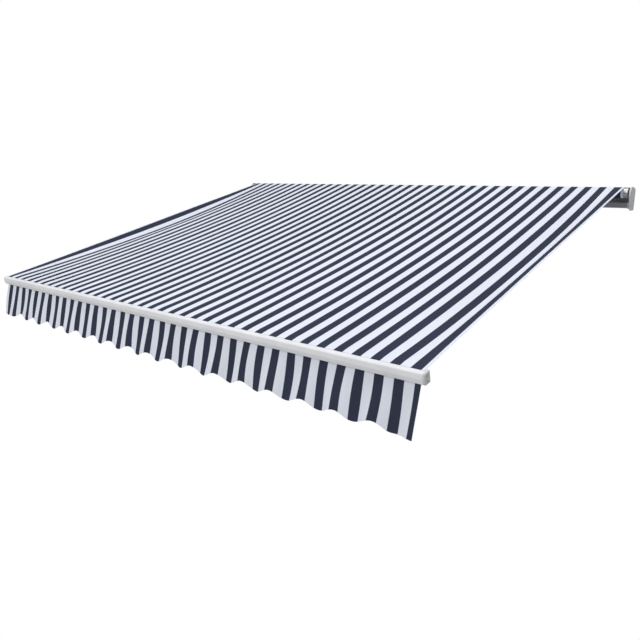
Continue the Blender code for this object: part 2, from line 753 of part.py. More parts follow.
def arm_bracket(side):
    """The casting slid over the torsion bar, with two cheeks that hold the tilting shoulder."""
    fit = TORSION_BAR_SIDE + 2.0 * SEAT_GAP
    half = fit / 2.0 + BRACKET_WALL
    hole = rounded_rectangle(TORSION_BAR_CENTRE, fit, fit, TORSION_BAR_CORNER)
    back = TORSION_BAR_CENTRE[0] + half
    block_front = TORSION_BAR_CENTRE[0] - half
    rest = 180.0 + math.degrees(ARM_PITCH)
    outline = arc((back - 0.006, half - 0.006), 0.006, 0.0, 90.0, 3)
    outline += [(block_front, half)]
    outline += arc(TILT_AXIS, CHEEK_RADIUS, 82.0, 268.0, 18)
    outline += [(block_front + 0.012, -half - 0.010)]
    outline += arc((back - 0.006, -half + 0.006), 0.006, -90.0, 0.0, 3)
    lock_slot = curved_slot(
        TILT_AXIS,
        LOCK_BOLT_OFFSET,
        2.0 * (LOCK_BOLT_RADIUS + RUNNING_GAP),
        rest - TILT_UP_DEGREES - 1.0,
        rest + TILT_DOWN_DEGREES + 1.0,
    )
    tilt_hole = circle(TILT_AXIS, TILT_BOLT_RADIUS + RUNNING_GAP)
    inside = SHOULDER_WIDTH / 2.0 + RUNNING_GAP
    outside = inside + CHEEK_THICKNESS
    body = prism([outline, hole, lock_slot, tilt_hole], -outside, outside, SIDEWAYS)
    gap = prism(
        [rectangle(TILT_AXIS[0] - 0.10, block_front - 0.0003, -0.10, 0.10)],
        -inside,
        inside,
        SIDEWAYS,
    )
    body = cut(body, [gap])
    bore = SET_SCREW_RADIUS + SEAT_GAP
    hole = turned([(0.0, 0.05), (bore, 0.05), (bore, 0.0), (0.0, 0.0)], set_screw_frame(0.0), 16)
    return placed(cut(body, [hole]), Matrix.Translation((side * ARM_SPACING, 0.0, 0.0)))


def set_screw_frame(centre_x):
    """Where the screw that grips the torsion bar stands, on the bar's top face."""
    return Matrix.Translation((centre_x, TORSION_BAR_CENTRE[0], TORSION_BAR_SIDE / 2.0))


def set_screw(centre_x):
    """The screw that grips the torsion bar."""
    length = SEAT_GAP + BRACKET_WALL
    frame = set_screw_frame(centre_x) @ Matrix.Translation((0.0, 0.0, length + SEAT_GAP))
    return bolt(SET_SCREW_RADIUS, length, frame)


def tilt_bolt():
    """The bolt on which the shoulder tilts, along Y of the arms' plane."""
    outside = SHOULDER_WIDTH / 2.0 + RUNNING_GAP + CHEEK_THICKNESS + SEAT_GAP
    frame = Matrix.Translation((0.0, outside, 0.0)) @ Matrix.Rotation(-math.pi / 2.0, 4, "X")
    return bolt(TILT_BOLT_RADIUS, 2.0 * outside, frame, nut=True)


def lock_bolt():
    """The bolt that locks the shoulder in the bracket's curved slots."""
    outside = SHOULDER_WIDTH / 2.0 + RUNNING_GAP + CHEEK_THICKNESS + SEAT_GAP
    frame = Matrix.Translation((LOCK_BOLT_OFFSET, outside, 0.0)) @ Matrix.Rotation(-math.pi / 2.0, 4, "X")
    return bolt(LOCK_BOLT_RADIUS, 2.0 * outside, frame, nut=True)


# The roller
def roller_inner_outline(shrink):
    """The inside of the roller tube, which bulges in round the keder groove, less a gap all round."""
    radius = ROLLER_RADIUS - ROLLER_WALL - shrink
    bore = (0.0, ROLLER_RADIUS - KEDER_DEPTH)
    bump = KEDER_BORE_RADIUS + ROLLER_WALL + shrink
    half_angle = math.degrees(math.asin(min(bump / radius, 1.0)))
    outline = arc((0.0, 0.0), radius, 90.0 + half_angle, 450.0 - half_angle, ROUND_STEPS + 4)
    outline += arc(bore, bump, 0.0, -180.0, 10)
    return outline


def roller_outer_outline():
    """The outside of the roller tube with its keder groove."""
    half_angle = math.degrees(math.asin(KEDER_SLOT_WIDTH / 2.0 / ROLLER_RADIUS))
    outline = arc((0.0, 0.0), ROLLER_RADIUS, 90.0 + half_angle, 450.0 - half_angle, 40)
    notch = keder_notch((0.0, ROLLER_RADIUS), (0.0, -1.0))
    return outline[1:-1] + notch


def roller_tube():
    """The tube on which the cloth winds."""
    loops = [roller_outer_outline(), roller_inner_outline(0.0)]
    return prism(loops, -ROLLER_LEFT_END, ROLLER_RIGHT_END, SIDEWAYS)


def roller_cap(side):
    """A moulded cap in the tube's end, with a flange and a stub."""
    tube_end = ROLLER_RIGHT_END if side > 0 else ROLLER_LEFT_END
    end = tube_end + SEAT_GAP
    plug = prism([roller_inner_outline(SEAT_GAP)], tube_end - CAP_PLUG_DEPTH, end + 0.001, SIDEWAYS)
    flange = prism([circle((0.0, 0.0), ROLLER_RADIUS - 0.0004, 32)], end, end + CAP_FLANGE, SIDEWAYS)
    if side > 0:
        radius = ROLLER_PIN_RADIUS
        tip = PLATE_INNER_X - 0.004
    else:
        radius = DRIVE_STUB_RADIUS
        tip = PLATE_INNER_X - GEARBOX_WIDTH + 0.020
    stub = prism([circle((0.0, 0.0), radius)], end + CAP_FLANGE / 2.0, tip, SIDEWAYS)
    hub = prism([circle((0.0, 0.0), radius + 0.004)], end + CAP_FLANGE / 2.0, end + CAP_FLANGE + 0.002, SIDEWAYS)
    cap = joined([plug, flange, hub, stub])
    return cap if side > 0 else placed(cap, Matrix.Scale(-1.0, 4, (1.0, 0.0, 0.0)))


def keder_rod(centre, half_length):
    """A round cord in a keder groove."""
    return prism([circle(centre, KEDER_RADIUS, 12)], -half_length, half_length, SIDEWAYS)


def fabric_roll():
    """The turns of cloth left on the roller, with the stripes across them."""
    flat = math.cos(math.pi / ROLL_SIDES)
    inner = (ROLLER_RADIUS + SEAT_GAP) / flat
    outer = ROLL_RADIUS / flat
    stations = stripe_edges(FABRIC_HALF)
    rings = []
    for station in stations:
        rings.append([Vector((station, first, second)) for first, second in circle((0.0, 0.0), outer, ROLL_SIDES)])
    shape = loft(rings, slots=stripe_slots(stations))
    hole = prism([circle((0.0, 0.0), inner, ROLL_SIDES)], -FABRIC_HALF - 0.01, FABRIC_HALF + 0.01, SIDEWAYS)
    return cut(shape, [hole])


# The stripes
def stripe_edges(half_width):
    """Where the stripes' edges lie across the cloth, both selvedges included."""
    edges = [-half_width]
    count = int(half_width / STRIPE_PITCH) + 1
    for index in range(-count, count + 1):
        for share in (-0.25, 0.25):
            station = (index + share) * STRIPE_PITCH
            if abs(station) < half_width - 0.002:
                edges.append(station)
    edges.append(half_width)
    return edges


def is_dark(station):
    """Whether a place across the cloth lies in a dark stripe. One is in the middle of the awning."""
    turn = station / STRIPE_PITCH
    return abs(turn - round(turn)) < 0.25


def stripe_slots(stations):
    """The finish of each field between two stations: 0 pale, 1 dark."""
    return [int(is_dark((near + far) / 2.0)) for near, far in zip(stations, stations[1:])]


# The canopy
def canopy_path():
    """The middle line of the canopy's underside, from the roll to the mouth of the bar's groove."""
    across = (-ALONG_CANOPY[1], ALONG_CANOPY[0])
    points = []
    for row in range(CANOPY_ROWS + 1):
        share = row / CANOPY_ROWS
        along = CANOPY_LENGTH * share
        fall = 4.0 * CANOPY_SAG * share * (1.0 - share)
        points.append(
            (
                CANOPY_REAR[0] + ALONG_CANOPY[0] * along + across[0] * fall,
                CANOPY_REAR[1] + ALONG_CANOPY[1] * along + across[1] * fall,
            )
        )
    side = CANOPY_GROOVE_BACK + CANOPY_THICKNESS / 2.0
    top = FRONT_BAR_HEIGHT / 2.0
    points[-1] = on_bar(side, top + 2.0 * SEAT_GAP)
    points.append(on_bar(side, top - KEDER_DEPTH + KEDER_RADIUS + 2.0 * SEAT_GAP))
    return points


def on_bar(first, second):
    """The place in the y-z plane of a point of the bar's section."""
    turned_point = leaning((first, second), ARM_PITCH)
    return (FRONT_BAR_CENTRE[0] + turned_point[0], FRONT_BAR_CENTRE[1] + turned_point[1])


def sheet_section(path, thickness):
    """A closed outline round a path, with the cloth's thickness on the left of its run."""
    upper = []
    for index, point in enumerate(path):
        before = path[max(index - 1, 0)]
        after = path[min(index + 1, len(path) - 1)]
        first = Vector(point) - Vector(before)
        second = Vector(after) - Vector(point)
        if first.length == 0.0:
            first = second
        if second.length == 0.0:
            second = first
        first.normalize()
        second.normalize()
        middle = (first + second).normalized()
        reach = thickness / max(middle.dot(first), 0.5)
        upper.append((point[0] + middle[1] * reach, point[1] - middle[0] * reach))
    return path + upper[::-1]


def canopy():
    """The striped cloth from the roller to the front bar, with its sag."""
    section = sheet_section(canopy_path(), CANOPY_THICKNESS)
    stations = stripe_edges(FABRIC_HALF)
    rings = [[Vector((station, first, second)) for first, second in section] for station in stations]
    return loft(rings, slots=stripe_slots(stations))


# The front bar and what hangs on it
def front_bar_outline(shrink, grooves=True):
    """The bar's section about its middle, in the y-z plane, with a bowed front and two keder grooves."""
    back = FRONT_BAR_DEPTH / 2.0 - shrink
    half = FRONT_BAR_HEIGHT / 2.0 - shrink
    rear = FRONT_BAR_REAR_CORNER
    corner = FRONT_BAR_CORNER
    front = -FRONT_BAR_DEPTH / 2.0 + FRONT_BAR_BOW + shrink
    outline = arc((back - rear, -half + rear), rear, -90.0, 0.0, 3)
    outline += arc((back - rear, half - rear), rear, 0.0, 90.0, 3)
    if grooves:
        outline += keder_notch((CANOPY_GROOVE_BACK, half), (0.0, -1.0))
    outline += arc((front + corner, half - corner), corner, 90.0, 165.0, 5)
    outline += [(-FRONT_BAR_DEPTH / 2.0 + shrink, 0.0)]
    outline += arc((front + corner, -half + corner), corner, 195.0, 270.0, 5)
    if grooves:
        outline += keder_notch((-VALANCE_GROOVE_FORWARD, -half), (0.0, 1.0))
    return outline


def front_bar_chamber(shrink):
    """The hollow of the bar between its two grooves."""
    width = FRONT_BAR_DEPTH - 2.0 * FRONT_BAR_WALL - 2.0 * shrink - 0.006
    height = FRONT_BAR_HEIGHT - 2.0 * GROOVE_ZONE - 2.0 * shrink
    return rounded_rectangle((0.001, 0.0), width, height, 0.003)


def front_bar():
    """The extruded bar, with the canopy's groove on top and the valance's groove below."""
    half = FRONT_BAR_LENGTH / 2.0
    return prism([front_bar_outline(0.0), front_bar_chamber(0.0)], -half, half, SIDEWAYS)


def front_cap(side):
    """A moulded end cap with a rounded edge and a spigot in the bar's chamber."""
    start = FRONT_BAR_LENGTH / 2.0 + SEAT_GAP
    rings = []
    for depth, shrink in ((0.0, 0.0), (0.6, 0.0), (0.88, 0.0012), (1.0, 0.0035)):
        outline = front_bar_outline(shrink, grooves=False)
        station = start + depth * FRONT_CAP_THICKNESS
        rings.append([Vector((station, first, second)) for first, second in outline])
    shell = loft(rings)
    spigot = prism([front_bar_chamber(SEAT_GAP)], start - FRONT_CAP_SPIGOT, start + 0.003, SIDEWAYS)
    cap = joined([shell, spigot])
    return cap if side > 0 else placed(cap, Matrix.Scale(-1.0, 4, (1.0, 0.0, 0.0)))


def wave_drop(station):
    """How far the valance hangs at a place across it: long under every second dark stripe."""
    turn = station / STRIPE_PITCH
    last_lobe = 2 * math.floor((VALANCE_WIDTH / 2.0 / STRIPE_PITCH - 1.0) / 2.0) + 1
    if abs(turn) > last_lobe:
        return VALANCE_DROP
    return VALANCE_DROP - VALANCE_WAVE_DEPTH * (0.5 + 0.5 * math.cos(math.pi * turn))


def valance_offset(station, share):
    """How far the hanging cloth swings forward in its soft ripples, from none at the bar to most below."""
    turn = station / STRIPE_PITCH
    swing = math.sin(math.pi * turn * 0.96 + 0.6) + 0.35 * math.sin(math.pi * turn * 0.41 + 1.9)
    return -VALANCE_LEAN * share - VALANCE_RIPPLE * share ** 0.8 * swing


def valance():
    """The waved strip of cloth below the bar."""
    half_width = VALANCE_WIDTH / 2.0
    stations = []
    for near, far in zip(stripe_edges(half_width), stripe_edges(half_width)[1:]):
        steps = max(1, round(VALANCE_STEPS_PER_PITCH * (far - near) / STRIPE_PITCH))
        stations += [near + (far - near) * step / steps for step in range(steps)]
    stations.append(half_width)
    mouth_y = -VALANCE_GROOVE_FORWARD - VALANCE_THICKNESS / 2.0
    mouth_z = -FRONT_BAR_HEIGHT / 2.0
    start_z = mouth_z + KEDER_DEPTH - KEDER_RADIUS - 2.0 * SEAT_GAP
    rings = []
    for station in stations:
        front = [(mouth_y, start_z), (mouth_y, mouth_z - SEAT_GAP)]
        drop = wave_drop(station)
        for row in range(1, VALANCE_ROWS + 1):
            share = row / VALANCE_ROWS
            hanging = leaning((valance_offset(station, share), -drop * share), -ARM_PITCH)
            front.append((mouth_y + hanging[0], mouth_z - 2.0 * SEAT_GAP + hanging[1]))
        back = [(first + VALANCE_THICKNESS, second) for first, second in front]
        rings.append([Vector((station, first, second)) for first, second in front + back[::-1]])
    return loft(rings, slots=stripe_slots(stations))


# The arms
def spigot_half(outer, wall, corner):
    """Half the side of a spigot whose corners just seat in a tube with round corners."""
    inner_corner = corner - wall
    return outer / 2.0 - wall - inner_corner + (inner_corner - SEAT_GAP) / math.sqrt(2.0)


LENGTHWISE = Matrix(((0, 0, 1, 0), (1, 0, 0, 0), (0, 1, 0, 0), (0, 0, 0, 1)))


def tube_section(width, height, corner, shrink=0.0):
    """An arm tube's section: first axis across the arm, second axis up."""
    return rounded_rectangle((0.0, 0.0), width - 2.0 * shrink, height - 2.0 * shrink, corner - shrink)


def arm_tube(width, height, corner, wall, start, end):
    """A hollow arm tube along X."""
    outer = tube_section(width, height, corner)
    inner = tube_section(width, height, corner, wall)
    return prism([outer, inner], start, end, LENGTHWISE)


def knuckle_block(width, height, corner, wall, near, far, spigot_end):
    """The part of an arm casting that meets the tube, from near to far, with a spigot into the tube."""
    body = prism([tube_section(width, height, corner)], min(near, far), max(near, far), LENGTHWISE)
    half_width = spigot_half(width, wall, corner)
    half_height = spigot_half(height, wall, corner)
    inside = far - math.copysign(0.008, far - near)
    spigot = prism(
        [rectangle(-half_width, half_width, -half_height, half_height)],
        min(inside, spigot_end),
        max(inside, spigot_end),
        LENGTHWISE,
    )
    return [body, spigot]


def tongue(pivot, radius, body_x, half_width, toward):
    """A flat eye round a pivot that runs into a casting's body, with the pin's bore."""
    deep = body_x + toward * 0.014
    if toward > 0:
        outline = arc(pivot, radius, 90.0, 270.0, 12)
        outline += [(deep, -half_width), (deep, half_width)]
    else:
        outline = arc(pivot, radius, -90.0, 90.0, 12)
        outline += [(deep, half_width), (deep, -half_width)]
    bore = circle(pivot, PIN_RADIUS + RUNNING_GAP)
    return prism([outline, bore], -TONGUE_HEIGHT / 2.0, TONGUE_HEIGHT / 2.0)


def heel(side):
    """The rear arm's casting at the shoulder: its pivot is the origin and the tube runs along +X."""
    shapes = knuckle_block(
        REAR_TUBE_WIDTH, REAR_TUBE_HEIGHT, REAR_TUBE_CORNER, REAR_TUBE_WALL,
        KNUCKLE_BODY_START, KNUCKLE_BODY_END, KNUCKLE_BODY_END + SPIGOT_LENGTH,
    )
    eye = tongue((0.0, 0.0), KNUCKLE_RADIUS, KNUCKLE_BODY_START, REAR_TUBE_WIDTH / 2.0 - 0.002, 1)
    end = KNUCKLE_BODY_END + SPIGOT_LENGTH
    anchor = channel(cable_line() * side, end - SPRING_HOOK - SEAT_GAP, end + 0.010)
    return cut(joined([shapes[0], eye, shapes[1]]), [anchor])


def cable_line():
    """How far outboard of the rear tube's middle the spring and the cable lie."""
    return REAR_ELBOW_OFFSET - CABLE_DRUM_RADIUS


def channel(offset, start, end):
    """A round cutter along X for the cable or the spring's end."""
    return prism([circle((offset, 0.0), CABLE_CHANNEL_RADIUS, 12)], start, end, LENGTHWISE)


def elbow_bend():
    """The angle that the cable turns round the elbow, in radians."""
    rear = math.asin(REAR_ELBOW_OFFSET / ARM_LENGTH)
    front = math.asin(FRONT_ELBOW_OFFSET / ARM_LENGTH)
    return 2.0 * REST_ANGLE + rear + front


def elbow_cable(side):
    """The cable from the spring, round the elbow's inner drum, to the front arm. The origin is the shoulder."""
    run = rear_tube_run()
    pivot = (run, REAR_ELBOW_OFFSET)
    bend = elbow_bend()
    path = [(run - CABLE_START, cable_line()), (run - 0.030, cable_line())]
    path += arc(pivot, CABLE_DRUM_RADIUS, -90.0, -90.0 + math.degrees(bend), 4)
    last = path[-1]
    path.append((last[0] + CABLE_ANCHOR * math.cos(bend), last[1] + CABLE_ANCHOR * math.sin(bend)))
    return swept([(first, second * side, 0.0) for first, second in path], CABLE_RADIUS, 8)


def arm_spring(side):
    """The long tension spring in the rear tube, from the heel to the cable. The origin is the shoulder."""
    start = KNUCKLE_BODY_END + SPIGOT_LENGTH
    end = rear_tube_run() - CABLE_START - SEAT_GAP
    steps = SPRING_TURNS * SPRING_STEPS_PER_TURN
    middle = cable_line()
    path = [(start - SPRING_HOOK, middle, 0.0), (start + SPRING_HOOK, middle, 0.0)]
    for step in range(steps + 1):
        angle = math.tau * step / SPRING_STEPS_PER_TURN
        along = start + 2.0 * SPRING_HOOK + (end - start - 4.0 * SPRING_HOOK) * step / steps
        path.append((along, middle + SPRING_RADIUS * math.cos(angle), SPRING_RADIUS * math.sin(angle)))
    path += [(end - SPRING_HOOK, middle, 0.0), (end, middle, 0.0)]
    return swept([(first, second * side, third) for first, second, third in path], SPRING_WIRE_RADIUS, 5)


def wrist():
    """The front arm's casting at the bar: its pivot is the origin and the tube runs along +X."""
    shapes = knuckle_block(
        FRONT_TUBE_WIDTH, FRONT_TUBE_HEIGHT, FRONT_TUBE_CORNER, FRONT_TUBE_WALL,
        KNUCKLE_BODY_START, KNUCKLE_BODY_END, KNUCKLE_BODY_END + SPIGOT_LENGTH,
    )
    eye = tongue((0.0, 0.0), KNUCKLE_RADIUS - 0.002, KNUCKLE_BODY_START, FRONT_TUBE_WIDTH / 2.0 - 0.002, 1)
    return joined([shapes[0], eye, shapes[1]])


def rear_tube_run():
    """The distance along the rear tube's axis from the shoulder to beside the elbow."""
    return math.sqrt(ARM_LENGTH ** 2 - REAR_ELBOW_OFFSET ** 2)


def front_tube_run():
    """The distance along the front tube's axis from the wrist to beside the elbow."""
    return math.sqrt(ARM_LENGTH ** 2 - FRONT_ELBOW_OFFSET ** 2)


def elbow_fork(side):
    """The rear arm's casting at the elbow: two ears whose pivot lies outboard of the tube."""
    run = rear_tube_run()
    shapes = knuckle_block(
        REAR_TUBE_WIDTH, REAR_TUBE_HEIGHT, REAR_TUBE_CORNER, REAR_TUBE_WALL,
        run - KNUCKLE_BODY_START, run - KNUCKLE_BODY_END, run - KNUCKLE_BODY_END - SPIGOT_LENGTH,
    )
    pivot = (run, REAR_ELBOW_OFFSET)
    radius = KNUCKLE_RADIUS + EAR_MARGIN
    half = REAR_TUBE_WIDTH / 2.0
    start = run - KNUCKLE_BODY_START - 0.014
    outline = [(start, -half + 0.002), (run - KNUCKLE_BODY_START + 0.002, -half + 0.002)]
    outline += arc(pivot, radius, -58.0, 188.0, 18)
    outline += [(start, half - 0.002)]
    bore = circle(pivot, PIN_RADIUS + RUNNING_GAP)
    loops = [mirrored_outline(outline, side), mirrored_outline(bore, side)]
    outer = REAR_TUBE_HEIGHT / 2.0 - 0.001
    upper = prism(loops, FORK_SLOT / 2.0, outer)
    lower = prism(loops, -outer, -FORK_SLOT / 2.0)
    bore = channel(cable_line() * side, run - KNUCKLE_BODY_END - SPIGOT_LENGTH - 0.005, run - 0.020)
    return cut(joined([shapes[0], upper, lower, shapes[1]]), [bore])


def elbow_tongue(side):
    """The front arm's casting at the elbow, in the wrist's frame, where +X runs back to the elbow."""
    run = front_tube_run()
    shapes = knuckle_block(
        FRONT_TUBE_WIDTH, FRONT_TUBE_HEIGHT, FRONT_TUBE_CORNER, FRONT_TUBE_WALL,
        run - KNUCKLE_BODY_START, run - KNUCKLE_BODY_END, run - KNUCKLE_BODY_END - SPIGOT_LENGTH,
    )
    pivot = (run, FRONT_ELBOW_OFFSET)
    half = FRONT_TUBE_WIDTH / 2.0 - 0.002
    start = run - KNUCKLE_BODY_START - 0.014
    outline = [(start, -half), (run - KNUCKLE_BODY_START + 0.002, -half)]
    outline += arc(pivot, KNUCKLE_RADIUS, -70.0, 194.0, 18)
    outline += [(start, half)]
    bore = circle(pivot, PIN_RADIUS + RUNNING_GAP)
    loops = [mirrored_outline(outline, -side), mirrored_outline(bore, -side)]
    eye = prism(loops, -TONGUE_HEIGHT / 2.0, TONGUE_HEIGHT / 2.0)
    line = (CABLE_DRUM_RADIUS - FRONT_ELBOW_OFFSET) * side
    bore = channel(line, run - CABLE_ANCHOR - 0.001, run + 0.001)
    floor = CABLE_DRUM_RADIUS - CABLE_CHANNEL_RADIUS
    rim = KNUCKLE_RADIUS + 2.0 * CABLE_CHANNEL_RADIUS
    edge = CABLE_CHANNEL_RADIUS
    centre = Matrix.Translation((pivot[0], -pivot[1] * side, 0.0))
    groove = turned([(floor, -edge), (rim, -edge), (rim, edge), (floor, edge)], centre, closed=True)
    return cut(joined([shapes[0], eye, shapes[1]]), [groove, bore])


def shoulder():
    """The tilting casting: an eye on the tilt bolt, and a fork that holds the arm's heel."""
    half = SHOULDER_HEIGHT / 2.0
    slot = FORK_SLOT / 2.0
    tip = SHOULDER_OFFSET + KNUCKLE_RADIUS + EAR_MARGIN
    slot_start = SHOULDER_OFFSET - KNUCKLE_RADIUS - EAR_MARGIN - 0.0015
    outline = arc((0.0, 0.0), SHOULDER_EYE_RADIUS, 90.0, 270.0, 12)
    outline += [(0.028, -half), (tip + 0.002, -half), (tip + 0.002, -slot), (slot_start, -slot)]
    outline += [(slot_start, slot), (tip + 0.002, slot), (tip + 0.002, half), (0.028, half)]
    tilt_bore = circle((0.0, 0.0), TILT_BOLT_RADIUS + RUNNING_GAP)
    lock_bore = circle((LOCK_BOLT_OFFSET, 0.0), LOCK_BOLT_RADIUS + RUNNING_GAP, 16)
    profile = prism([outline, tilt_bore, lock_bore], -0.040, 0.040, UPRIGHT)
    width = SHOULDER_WIDTH / 2.0
    plan = [(-0.020, -width), (SHOULDER_OFFSET - 0.024, -width)]
    plan += arc((SHOULDER_OFFSET, 0.0), KNUCKLE_RADIUS + EAR_MARGIN, -78.0, 78.0, 14)
    plan += [(SHOULDER_OFFSET - 0.024, width), (-0.020, width)]
    pin_bore = circle((SHOULDER_OFFSET, 0.0), PIN_RADIUS + RUNNING_GAP)
    return common(profile, prism([plan, pin_bore], -0.040, 0.040))


def shoulder_pin():
    """The pin through the shoulder's fork and the arm's heel."""
    reach = SHOULDER_HEIGHT / 2.0 + SEAT_GAP
    return pin(PIN_RADIUS, PIN_RADIUS + 0.003, 0.003, -reach, reach)


def elbow_pin():
    """The pin through the elbow's fork and tongue."""
    reach = REAR_TUBE_HEIGHT / 2.0 - 0.001 + SEAT_GAP
    return pin(PIN_RADIUS, PIN_RADIUS + 0.003, 0.003, -reach, reach)


def wrist_pin():
    """The pin through the connector's ears and the wrist."""
    reach = CONNECTOR_EAR_HEIGHT / 2.0 + SEAT_GAP
    return pin(PIN_RADIUS, PIN_RADIUS + 0.003, 0.003, -reach, reach)


def arm_connector():
    """The casting on the bar's back: an upright base plate and two ears in the arms' plane.

    It is made in the frame of the wrist, where +X is forward in the arms' plane.
    """
    half = CONNECTOR_EAR_HEIGHT / 2.0
    slot = FORK_SLOT / 2.0
    radius = KNUCKLE_RADIUS + EAR_MARGIN - 0.002
    face = WRIST_OFFSET - FRONT_BAR_DEPTH / 2.0 - SEAT_GAP
    plate_back = face - CONNECTOR_PLATE
    deep = face - CONNECTOR_PLATE / 2.0
    outline = [
        (-radius - 0.002, half),
        (-radius - 0.002, slot),
        (plate_back - 0.004, slot),
        (plate_back - 0.004, -slot),
        (-radius - 0.002, -slot),
        (-radius - 0.002, -half),
        (deep, -half),
        (deep, half),
    ]
    profile = prism([outline], -0.040, 0.040, UPRIGHT)
    plan = arc((0.0, 0.0), radius, 90.0, 270.0, 12) + [(0.080, -radius), (0.080, radius)]
    bore = circle((0.0, 0.0), PIN_RADIUS + RUNNING_GAP)
    ears = common(profile, prism([plan, bore], -0.040, 0.040))
    reach = CONNECTOR_HEIGHT / 2.0
    plate = rounded_rectangle((0.0, WRIST_DROP), CONNECTOR_WIDTH, 2.0 * reach, 0.008)
    base = prism([plate], plate_back, face, LENGTHWISE)
    return joined([base, ears])


def crank_eye():
    """The gearbox's input shaft with the loop for the crank's hook, along its own third axis."""
    tip = CRANK_SHAFT_LENGTH
    shaft = turned(
        [(0.0, 0.0), (CRANK_SHAFT_RADIUS, 0.0), (CRANK_SHAFT_RADIUS, tip), (0.0, tip)],
        steps=16,
    )
    collar = turned(
        [
            (0.0, CRANK_SNOUT_END + SEAT_GAP),
            (CRANK_SHAFT_RADIUS + 0.0025, CRANK_SNOUT_END + SEAT_GAP),
            (CRANK_SHAFT_RADIUS + 0.0025, tip + 0.002),
            (0.0, tip + 0.002),
        ],
        steps=16,
    )
    middle = tip + CRANK_LOOP_RADIUS + CRANK_WIRE_RADIUS / 2.0
    rings = []
    for step in range(20):
        angle = math.tau * step / 20
        outward = Vector((math.cos(angle), 0.0, math.sin(angle)))
        centre = Vector((0.0, 0.0, middle)) + outward * CRANK_LOOP_RADIUS
        ring = []
        for corner in range(8):
            turn = math.tau * corner / 8
            bend = outward * math.cos(turn) + Vector((0.0, 1.0, 0.0)) * math.sin(turn)
            ring.append(centre + bend * CRANK_WIRE_RADIUS)
        rings.append(ring)
    return joined([collar, loft(rings, looped=True), shaft])


def turned_in_plane(angle, side):
    """A frame turned about Z in the arms' plane: outboard is positive on both sides."""
    return Matrix.Rotation(side * angle, 4, "Z")


def build_arm(side, parent, finishes):
    """One folding arm with its shoulder, from the tilt axis to the wrist, and the wrist's frame."""
    name = side_name(side)
    tilt_frame = arm_plane(TILT_AXIS, side * ARM_SPACING)
    tilt = axis("tilt_axis_" + name, tilt_frame, parent)
    piece("tilt_bolt_" + name, tilt_bolt(), [finishes["steel"]], tilt)
    piece("shoulder_" + name, shoulder(), [finishes["casting"]], tilt)
    piece("pitch_lock_bolt_" + name, lock_bolt(), [finishes["steel"]], tilt)
    shoulder_frame = arm_plane(SHOULDER, side * ARM_SPACING)
    pin_axis = axis("shoulder_pin_axis_" + name, shoulder_frame, tilt)
    piece("shoulder_pin_" + name, shoulder_pin(), [finishes["steel"]], pin_axis)

    rear_turn = -REST_ANGLE - math.asin(REAR_ELBOW_OFFSET / ARM_LENGTH)
    rear_frame = shoulder_frame @ turned_in_plane(rear_turn, side)
    rear = axis("shoulder_axis_" + name, rear_frame, tilt)
    rear_end = rear_tube_run() - KNUCKLE_BODY_END - SEAT_GAP
    tube = arm_tube(
        REAR_TUBE_WIDTH, REAR_TUBE_HEIGHT, REAR_TUBE_CORNER, REAR_TUBE_WALL,
        KNUCKLE_BODY_END + SEAT_GAP, rear_end,
    )
    piece("arm_heel_" + name, heel(side), [finishes["casting"]], rear)
    piece("arm_spring_" + name, arm_spring(side), [finishes["steel"]], rear)
    piece("elbow_cable_" + name, elbow_cable(side), [finishes["steel"]], rear)
    piece("rear_arm_tube_" + name, tube, [finishes["painted"]], rear)
    piece("elbow_fork_" + name, elbow_fork(side), [finishes["casting"]], rear)
    elbow_frame = arm_plane(ELBOW, side * (ARM_SPACING - ELBOW_INBOARD))
    elbow = axis("elbow_axis_" + name, elbow_frame, rear)
    piece("elbow_pin_" + name, elbow_pin(), [finishes["steel"]], elbow)

    wrist_frame = arm_plane(WRIST, side * ARM_SPACING)
    front_turn = math.pi + REST_ANGLE + math.asin(FRONT_ELBOW_OFFSET / ARM_LENGTH)
    front_frame = wrist_frame @ turned_in_plane(front_turn, side)
    front = axis("wrist_axis_" + name, front_frame, elbow)
    front_end = front_tube_run() - KNUCKLE_BODY_END - SEAT_GAP
    tube = arm_tube(
        FRONT_TUBE_WIDTH, FRONT_TUBE_HEIGHT, FRONT_TUBE_CORNER, FRONT_TUBE_WALL,
        KNUCKLE_BODY_END + SEAT_GAP, front_end,
    )
    piece("elbow_tongue_" + name, elbow_tongue(side), [finishes["casting"]], front)
    piece("front_arm_tube_" + name, tube, [finishes["painted"]], front)
    piece("arm_wrist_" + name, wrist(), [finishes["casting"]], front)
    return front, wrist_frame


def build_wall_pieces(root, finishes):
    """Everything that stays still."""
    piece("torsion_bar", torsion_bar(), [finishes["steel"]], root)
    places = {"left": -WALL_BRACKET_SPACING, "middle": 0.0, "right": WALL_BRACKET_SPACING}
    for name, centre_x in places.items():
        piece("wall_bracket_" + name, wall_bracket(centre_x), [finishes["casting"]], root)
        piece("bracket_keeper_" + name, keeper(centre_x), [finishes["casting"]], root)
        piece("keeper_bolt_" + name, keeper_bolt(centre_x), [finishes["steel"]], root)
    for side in (-1, 1):
        piece("side_plate_" + side_name(side), side_plate(side), [finishes["plastic"]], root)
        piece("arm_bracket_" + side_name(side), arm_bracket(side), [finishes["casting"]], root)
        piece("set_screw_" + side_name(side), set_screw(side * ARM_SPACING), [finishes["steel"]], root)
    piece("idler_bearing", idler_bearing(), [finishes["dark_plastic"]], root)
    piece("gearbox_housing", gearbox_housing(), [finishes["dark_plastic"]], root)


